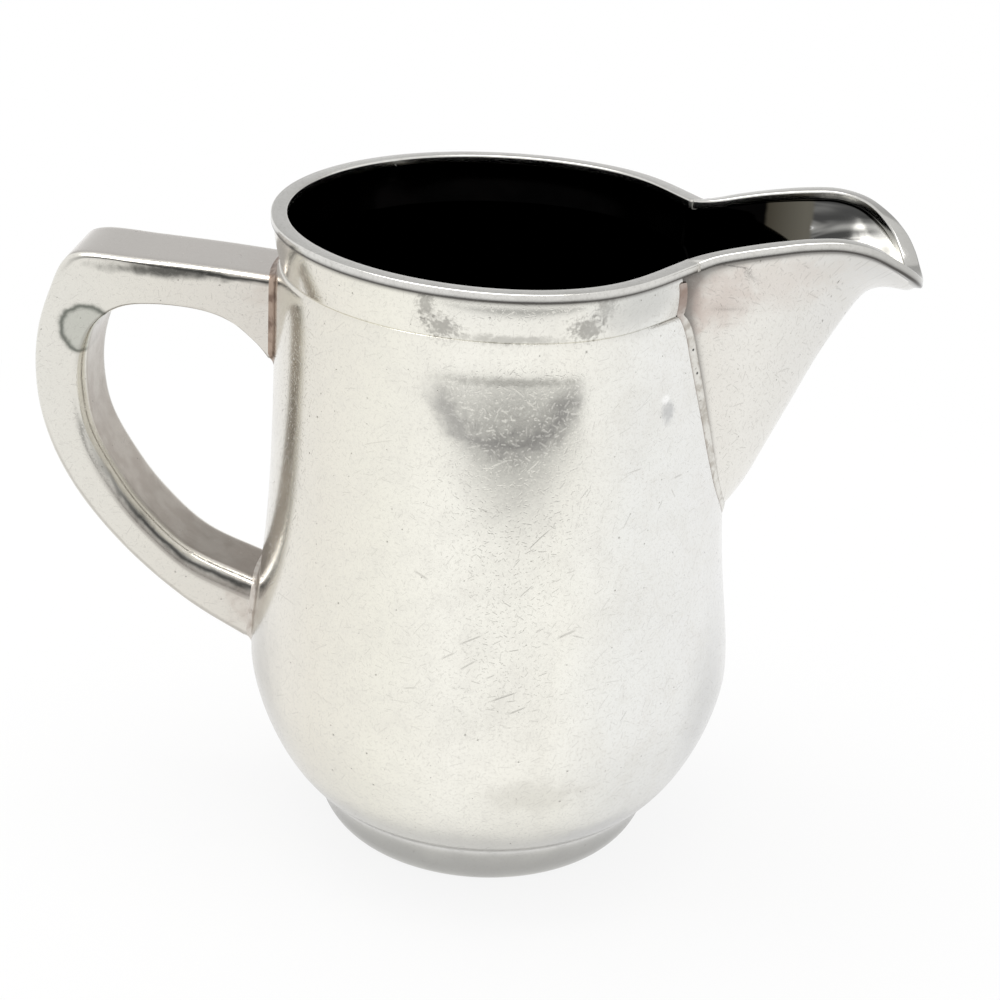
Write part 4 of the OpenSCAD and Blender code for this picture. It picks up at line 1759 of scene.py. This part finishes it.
@dataclass
class Handle:
    """The hollow handle: two stamped halves and the solder round their roots."""

    profile: Profile
    reach: float = 66.8
    drop: float = 8.2
    height: float = 59.0
    width: float = 13.6
    sheet: float = 0.9
    outer_round: float = 1.5
    inner_round: float = 0.9
    grip_round: float = 2.9
    root_w: float = 1.0
    rings: int = 150

    OUTER = np.array([
        [0, 0.025], [0.267, 0.013], [0.544, 0.005], [0.78, 0], [0.864, 0.028], [0.924, 0.1], [0.98, 0.2],
        [1, 0.31], [0.98, 0.43], [0.907, 0.553], [0.774, 0.675], [0.569, 0.798], [0.302, 0.91], [0, 1],
    ])
    INNER = np.array([
        [0, 0.235], [0.053, 0.195], [0.145, 0.148], [0.277, 0.122], [0.469, 0.116], [0.621, 0.13],
        [0.727, 0.178], [0.777, 0.26], [0.786, 0.36], [0.754, 0.463], [0.659, 0.567], [0.523, 0.67],
        [0.31, 0.772], [0, 0.84],
    ])

    def line(self, table: Points, share: np.ndarray) -> Points:
        """An outline of the handle on its middle plane.

        Args:
            table: Rows of share outwards and share downwards.
            share: The places wanted, from 0 at the upper root to 1 at the lower.

        Returns:
            A row for each place.
        """
        rows = along(table, share)
        z = self.profile.body_h - self.drop - rows[:, 1] * self.height
        wall = self.profile.radius(z)
        x = -(wall + (self.reach - wall) * rows[:, 0])
        return np.stack([x, 0 * x, z], -1)

    def section(self, width: np.ndarray, round_in: np.ndarray, depth: float) -> Points:
        """The half section of each ring, as rows of distance across and distance sideways.

        Args:
            width: The handle's depth at each ring.
            round_in: The rounding of its inner edge.
            depth: 0 for the outside, or the sheet's thickness for the inside.

        Returns:
            For each ring, rows of two numbers from the outer seam to the inner seam.
        """
        half = self.width / 2 - depth
        r_out = max(0.05, self.outer_round - depth)
        rows = []
        for w, r_in in zip(width, np.maximum(0.05, round_in - depth)):
            outer = np.radians(np.linspace(180, 90, 9))
            inner = np.radians(np.linspace(90, 0, 11))
            flat = np.linspace(0, 1, 8)[1:-1]
            rows.append(np.vstack([
                [[depth, share * (half - r_out)] for share in np.linspace(0, 1, 6)[:-1]],
                np.stack([depth + r_out + r_out * np.cos(outer), half - r_out + r_out * np.sin(outer)], -1),
                [[depth + r_out + (w - 2 * depth - r_out - r_in) * share, half] for share in flat],
                np.stack([w - depth - r_in + r_in * np.cos(inner), half - r_in + r_in * np.sin(inner)], -1),
                [[w - depth, share * (half - r_in)] for share in np.linspace(1, 0, 6)[1:]],
            ]))
        return np.array(rows)

    def grid(self, depth: float) -> Points:
        """The rings of one half, at +Y.

        Args:
            depth: 0 for the outside, or the sheet's thickness for the inside.

        Returns:
            Rows of points, one row a ring.
        """
        share = np.linspace(0, 1, self.rings)
        outer, inner = self.line(self.OUTER, share), self.line(self.INNER, share)
        width = np.linalg.norm(inner - outer, axis=-1)
        round_in = self.inner_round + (self.grip_round - self.inner_round) * smooth(share, 0.42, 0.62)
        section = self.section(width, round_in, depth)
        across = unit(inner - outer)[:, None] * section[:, :, :1]
        points = outer[:, None] + across + np.array([0.0, 1.0, 0.0]) * section[:, :, 1:]
        for end in (0, -1):
            y, z = points[end, :, 1], points[end, :, 2]
            points[end, :, 0] = -np.sqrt(self.profile.radius(z) ** 2 - y**2) + 0.1
        return points

    def build(self) -> list[bpy.types.Object]:
        """Makes the two halves and their solder.

        Returns:
            The pieces.
        """
        pieces = []
        outer, inner = self.grid(0.0), self.grid(self.sheet)
        stains_and_shading = (
            # Black line along the upper arm's near side, under its lit edge: partly tarnish, partly painted
            # reflection.
            SpotOfStainOrShade((-46.5, -6.8, 85.1), (10.5, 2.6, 1.2), (0.05, 0.05, 0.045), 0.9, 1.3),
            SpotOfStainOrShade((-34.0, 0.0, 84.0), (3.5, 9.0, 6.0), (0.50, 0.42, 0.36), 0.5),
            SpotOfStainOrShade((-36.5, 0.0, 35.0), (5.0, 9.0, 7.0), (0.46, 0.38, 0.33), 0.6),
        )
        marks = (
            # Painted reflection: the dark crescent where the inner rounding starts below the upper arm's
            # corner.
            RingMark(
                (-58.7, 75.5),
                (3.9, 3.6),
                border=(0.13, 0.14, 0.12),
                middle=(0.48, 0.49, 0.44),
                thickness=0.11,
                opening=(0.8, -0.6),
            ),
        )
        finish = SilverPlate(
            "worn_silver_handle",
            tones=(
                (-67.0, (0.78, 0.765, 0.71)),
                (-50.0, (0.76, 0.735, 0.67)),
                (-34.0, (0.71, 0.675, 0.62)),
            ),
            wrap=Wrap.FLANK,
            stains_and_shading=stains_and_shading,
            marks=marks,
            edges=EdgeTarnishAndPaintedLight(),
        ).material()
        halves = (
            (1, "handle_half_right", "handle_right_half"),
            (-1, "handle_half_left", "handle_left_half"),
        )
        for side, name, node in halves:
            turn = np.array([1.0, side, 1.0])
            maker = MeshMaker(name)
            outside, inside = maker.add(outer * turn), maker.add(inner * turn)
            maker.skin(outside)
            maker.skin(inside)
            for edge in (0, -1):
                maker.skin(np.stack([outside[:, edge], inside[:, edge]]))
                maker.skin(np.stack([outside[edge], inside[edge]]))
            piece = maker.make([finish], crisp=50.0)
            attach(piece, "root")
            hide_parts(node)
            pieces.append(piece)
        bare = SolderBead("handle_root_finish", tone=(0.40, 0.31, 0.25), wear_and_shade=(0.14, 0.09, 0.07))
        plated = SolderBead("handle_foot_finish", tone=(0.64, 0.60, 0.55), wear_and_shade=(0.44, 0.38, 0.33))
        roots = (
            ("handle_root_top", "handle_top_solder", 0, 2, bare),
            ("handle_root_bottom", "handle_bottom_solder", -1, -3, plated),
        )
        for name, node, wall, arm, solder in roots:
            pieces.append(self.root(name, node, outer[wall], outer[arm], solder.material()))
        return pieces

    def root(
        self, name: str, node: str, wall: Points, arm: Points, material: bpy.types.Material
    ) -> bpy.types.Object:
        """Makes the fillet round one root.

        Args:
            name: The piece's name.
            node: The solid that it stands for.
            wall: The ring of the +Y half at the wall.
            arm: A ring a little way along the arm.
            material: The solder's finish.

        Returns:
            The piece.
        """
        loop = np.vstack([wall, flipped(wall[-2:0:-1])])
        climb = unit(np.vstack([arm, flipped(arm[-2:0:-1])]) - loop)
        around = np.roll(loop, -1, 0) - np.roll(loop, 1, 0)
        out = unit(np.stack([0 * around[:, 0], around[:, 2], -around[:, 1]], -1))
        middle = (wall[0] + wall[-1]) / 2
        out = np.where(((loop - middle) * out).sum(-1, keepdims=True) < 0, -out, out)
        toe = loop + out * self.root_w
        toe[:, 0] = -np.sqrt(self.profile.radius(toe[:, 2]) ** 2 - toe[:, 1] ** 2) + 0.02
        top = loop + climb * self.root_w
        bend = loop + out * 0.12 + climb * 0.12
        u = np.linspace(0, 1, 7)[None, :, None]
        arc = (1 - u) ** 2 * toe[:, None] + 2 * u * (1 - u) * bend[:, None] + u**2 * top[:, None]
        under = (loop - out * 0.2 + np.array([0.4, 0, 0]))[:, None]
        maker = MeshMaker(name)
        index = maker.add(np.concatenate([arc, under], 1))
        maker.skin(index, close_rows=True, close_columns=True)
        piece = maker.make([material])
        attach(piece, "root")
        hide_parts(node)
        return piece


# ---------------------------------------------------------------- studio


def only_mirrored(piece: bpy.types.Object) -> bpy.types.Object:
    """Makes a card of the stage that only reflections see.

    Args:
        piece: The card.

    Returns:
        The same card.
    """
    piece.visible_camera = False
    piece.visible_diffuse = False
    piece.visible_shadow = False
    return piece


@dataclass(frozen=True)
class Card:
    """A grey card that only reflections see, a little lighter at its heart and faded at its border."""

    name: str
    corner: tuple[float, float, float]
    first_side: tuple[float, float, float]
    second_side: tuple[float, float, float]
    tone: float
    heart: float
    heart_spread: tuple[float, float]
    border: float
    heart_at: tuple[float, float] = (0.5, 0.5)

    def build(self) -> bpy.types.Object:
        """Makes the card.

        Returns:
            The card, as part of the stage.
        """
        graph = Graph(self.name + "_finish")
        sides = (self.corner, self.first_side, self.second_side)
        corner, first, second = (np.array(side, float) for side in sides)
        away = graph.vector("SUBTRACT", graph.point(), tuple(corner))
        u = graph.vector("DOT_PRODUCT", away, tuple(first / (first @ first)), output=1)
        v = graph.vector("DOT_PRODUCT", away, tuple(second / (second @ second)), output=1)
        cover = u.rise(0.0, self.border) * u.rise(1.0, 1.0 - self.border)
        cover = cover * v.rise(0.0, self.border * 3) * v.rise(1.0, 1.0 - self.border)
        at, spread = self.heart_at, self.heart_spread
        heart = u.bell(at[0], spread[0]) * v.bell(at[1], spread[1])
        colour = graph.mix(heart, (self.tone,) * 3, (self.heart,) * 3)
        low = np.stack([corner, corner + first])
        maker = MeshMaker(self.name)
        maker.skin(maker.add(np.stack([low, low + second])))
        return only_mirrored(maker.make([graph.veil(cover, colour)]))


@dataclass(frozen=True)
class RoundCard:
    """A grey card bent round the table, which the wall mirrors as a dark bowl with a soft glow below."""

    name: str = "lens_card"
    radius: float = 132.0
    towards: float = -85.0
    sides: tuple[float, float] = (-34.0, 62.0)
    low: float = 19.0
    top: float = 46.6
    middle: float = 7.0
    half_width: float = 35.0
    depth: float = 12.0

    def finish(self) -> bpy.types.Material:
        """The card's grey tones.

        Returns:
            The material.
        """
        graph = Graph(self.name + "_finish")
        x, y, z = graph.split(graph.point())
        angle = graph.math("ARCTAN2", y, x) * (180 / math.pi) - (self.towards + self.middle)
        across, down = angle / self.half_width, (self.top - z) / self.depth
        bowl = graph.math("SQRT", across * across + down * down)
        heart = angle.bell(-19.0, 11.0) * z.bell(self.top - 3.4, 2.6)
        tone = graph.mix(bowl.rise(0.95, 0.45), (0.10,) * 3, (0.27,) * 3)
        tone = graph.mix(heart * 0.9, tone, (0.80,) * 3)
        wide, deep = angle / (self.half_width * 0.95), (self.top - z) / (self.depth * 2.2)
        glow = graph.math("SQRT", wide * wide + deep * deep).rise(1.0, 0.45) * 0.62
        cover = graph.math("MAXIMUM", bowl.rise(1.08, 0.92) * 0.92, glow)
        return graph.veil(cover * z.rise(self.top, self.top - 1.2), tone)

    def build(self) -> bpy.types.Object:
        """Makes the card.

        Returns:
            The card, as part of the stage.
        """
        angle = np.radians(np.linspace(*self.sides, 49) + self.towards)
        row = np.stack([np.cos(angle), np.sin(angle), 0 * angle], -1) * self.radius
        maker = MeshMaker(self.name)
        maker.skin(maker.add(np.array([row + [0, 0, self.low], row + [0, 0, self.top]])))
        return only_mirrored(maker.make([self.finish()]))


@dataclass(frozen=True)
class Studio:
    """A pale floor, a soft top light, plain surroundings and the camera."""

    distance: float = 287.86
    height: float = 182.95
    pitch: float = 0.4289
    yaw: float = -0.0023
    roll: float = 0.0486
    turn: float = 5.0
    focus: float = 2150.0
    floor_tone: float = 0.74
    floor_white: float = 0.86
    mirrored_white: float = 0.66
    white_from: float = 60.0
    white_to: float = 210.0
    lamp_size: tuple[float, float] = (0.55, 0.45)
    lamp_power: float = 2.8
    lamp_at: tuple[float, float, float] = (-0.10, 0.05, 0.75)
    lamp_lean: tuple[float, float] = (4.0, -7.0)

    def camera(self) -> None:
        """Places the camera as the photograph was taken."""
        cos_p, sin_p = math.cos(self.pitch), math.sin(self.pitch)
        forward = np.array([-math.cos(self.yaw) * cos_p, -math.sin(self.yaw) * cos_p, -sin_p])
        right = unit(np.cross(forward, [0.0, 0.0, 1.0]))
        up = np.cross(right, forward)
        cos_r, sin_r = math.cos(self.roll), math.sin(self.roll)
        right, up = cos_r * right + sin_r * up, cos_r * up - sin_r * right
        a = math.radians(self.turn)
        turned = np.array([[math.sin(a), math.cos(a), 0], [-math.cos(a), math.sin(a), 0], [0, 0, 1]])
        place = turned @ np.array([self.distance, 0.0, self.height]) * MM
        axes = np.stack([turned @ right, turned @ up, turned @ -forward], -1)
        data = bpy.data.cameras.new("camera")
        data.sensor_width = 36.0
        data.lens = self.focus / 1000 * 36.0
        data.clip_start = 0.01
        eye = bpy.data.objects.new("camera", data)
        eye.matrix_world = Matrix.LocRotScale(Vector(place), Matrix(axes.tolist()).to_quaternion(), None)
        bpy.context.scene.collection.objects.link(eye)
        bpy.context.scene.camera = eye

    def floor(self) -> None:
        """Lays the floor, which goes over into plain white away from the object."""
        graph = Graph("pale_floor")
        distance = graph.vector("LENGTH", graph.point(), output=1)
        tones = ((self.floor_tone,) * 3, (self.floor_tone * 0.985,) * 3)
        colour = graph.mix(graph.noise(graph.point(), 40.0), *tones)
        near = graph.node("ShaderNodeBsdfDiffuse", None, {"Color": colour})
        white = graph.node("ShaderNodeEmission", None, {"Color": (1.0, 1.0, 1.0, 1.0), "Strength": 1.0})
        camera, glossy, through = (
            graph.node("ShaderNodeLightPath", output=f"Is {kind} Ray")
            for kind in ("Camera", "Glossy", "Transmission")
        )
        mirrored = graph.math("MAXIMUM", glossy, through)
        seen = graph.math("MAXIMUM", camera * self.floor_white, mirrored * self.mirrored_white)
        far = distance.rise(self.white_from, self.white_to) * graph.math("MAXIMUM", camera, mirrored)
        share = graph.math("MAXIMUM", far, seen)
        shader = graph.node("ShaderNodeMixShader", None, {0: share, 1: near, 2: white})
        maker = MeshMaker("floor")
        radius = np.array([0.0, 60.0, 150.0, 420.0, 1500.0, 6000.0])[:, None]
        angle = np.linspace(0, 2 * np.pi, 65)[:-1]
        points = np.stack([radius * np.cos(angle), radius * np.sin(angle), 0 * radius * angle], -1)
        maker.skin(maker.add(points), close_columns=True)
        maker.make([graph.output(shader)])

    def cards(self) -> None:
        """Hangs the grey cards round the table."""
        RoundCard().build()
        Card(
            "side_card",
            corner=(-76, 64, 1),
            first_side=(-140, 42, 0),
            second_side=(-4, 13, 0),
            tone=0.05,
            heart=0.05,
            heart_spread=(1, 1),
            border=0.08,
        ).build()
        Card(
            "back_card",
            corner=(-600, 420, 40),
            first_side=(1200, 0, 0),
            second_side=(0, 0, 460),
            tone=0.56,
            heart=0.62,
            heart_spread=(0.3, 0.3),
            border=0.18,
        ).build()

    def light(self) -> None:
        """Lights the table from a soft box above and a pale surround."""
        lamp = bpy.data.lights.new("soft_box", "AREA")
        lamp.shape = "RECTANGLE"
        lamp.size, lamp.size_y = self.lamp_size
        lamp.energy = self.lamp_power
        lamp.color = (1.0, 0.99, 0.97)
        holder = bpy.data.objects.new("soft_box", lamp)
        holder.location = self.lamp_at
        holder.rotation_euler = (*(math.radians(lean) for lean in self.lamp_lean), 0)
        bpy.context.scene.collection.objects.link(holder)
        world = bpy.data.worlds.new("surround")
        bpy.context.scene.world = world
        world.use_nodes = True
        back = world.node_tree.nodes["Background"]
        back.inputs["Color"].default_value = (1.0, 1.0, 1.0, 1.0)
        back.inputs["Strength"].default_value = 1.0

    def build(self) -> None:
        """Sets up the whole studio."""
        bpy.context.scene.view_settings.view_transform = "Standard"
        self.camera()
        self.floor()
        self.cards()
        self.light()


def main() -> None:
    """Builds the pieces in order and reports each."""
    logging.basicConfig(level=logging.INFO, format="%(name)s: %(message)s")
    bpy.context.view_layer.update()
    profile = Profile()
    draw_in = DrawIn()
    spout = Spout(profile, draw_in)
    body = Body(profile, draw_in, spout)
    pieces = [body.build()]
    body.dress_base()
    pieces += Wire(profile, draw_in, spout).build()
    pieces += spout.build()
    pieces += Handle(profile).build()
    for piece in pieces:
        LOG.info("%s: %d faces", piece.name, len(piece.data.polygons))
    Studio().build()
    bpy.context.view_layer.update()


if __name__ == "__main__":
    main()
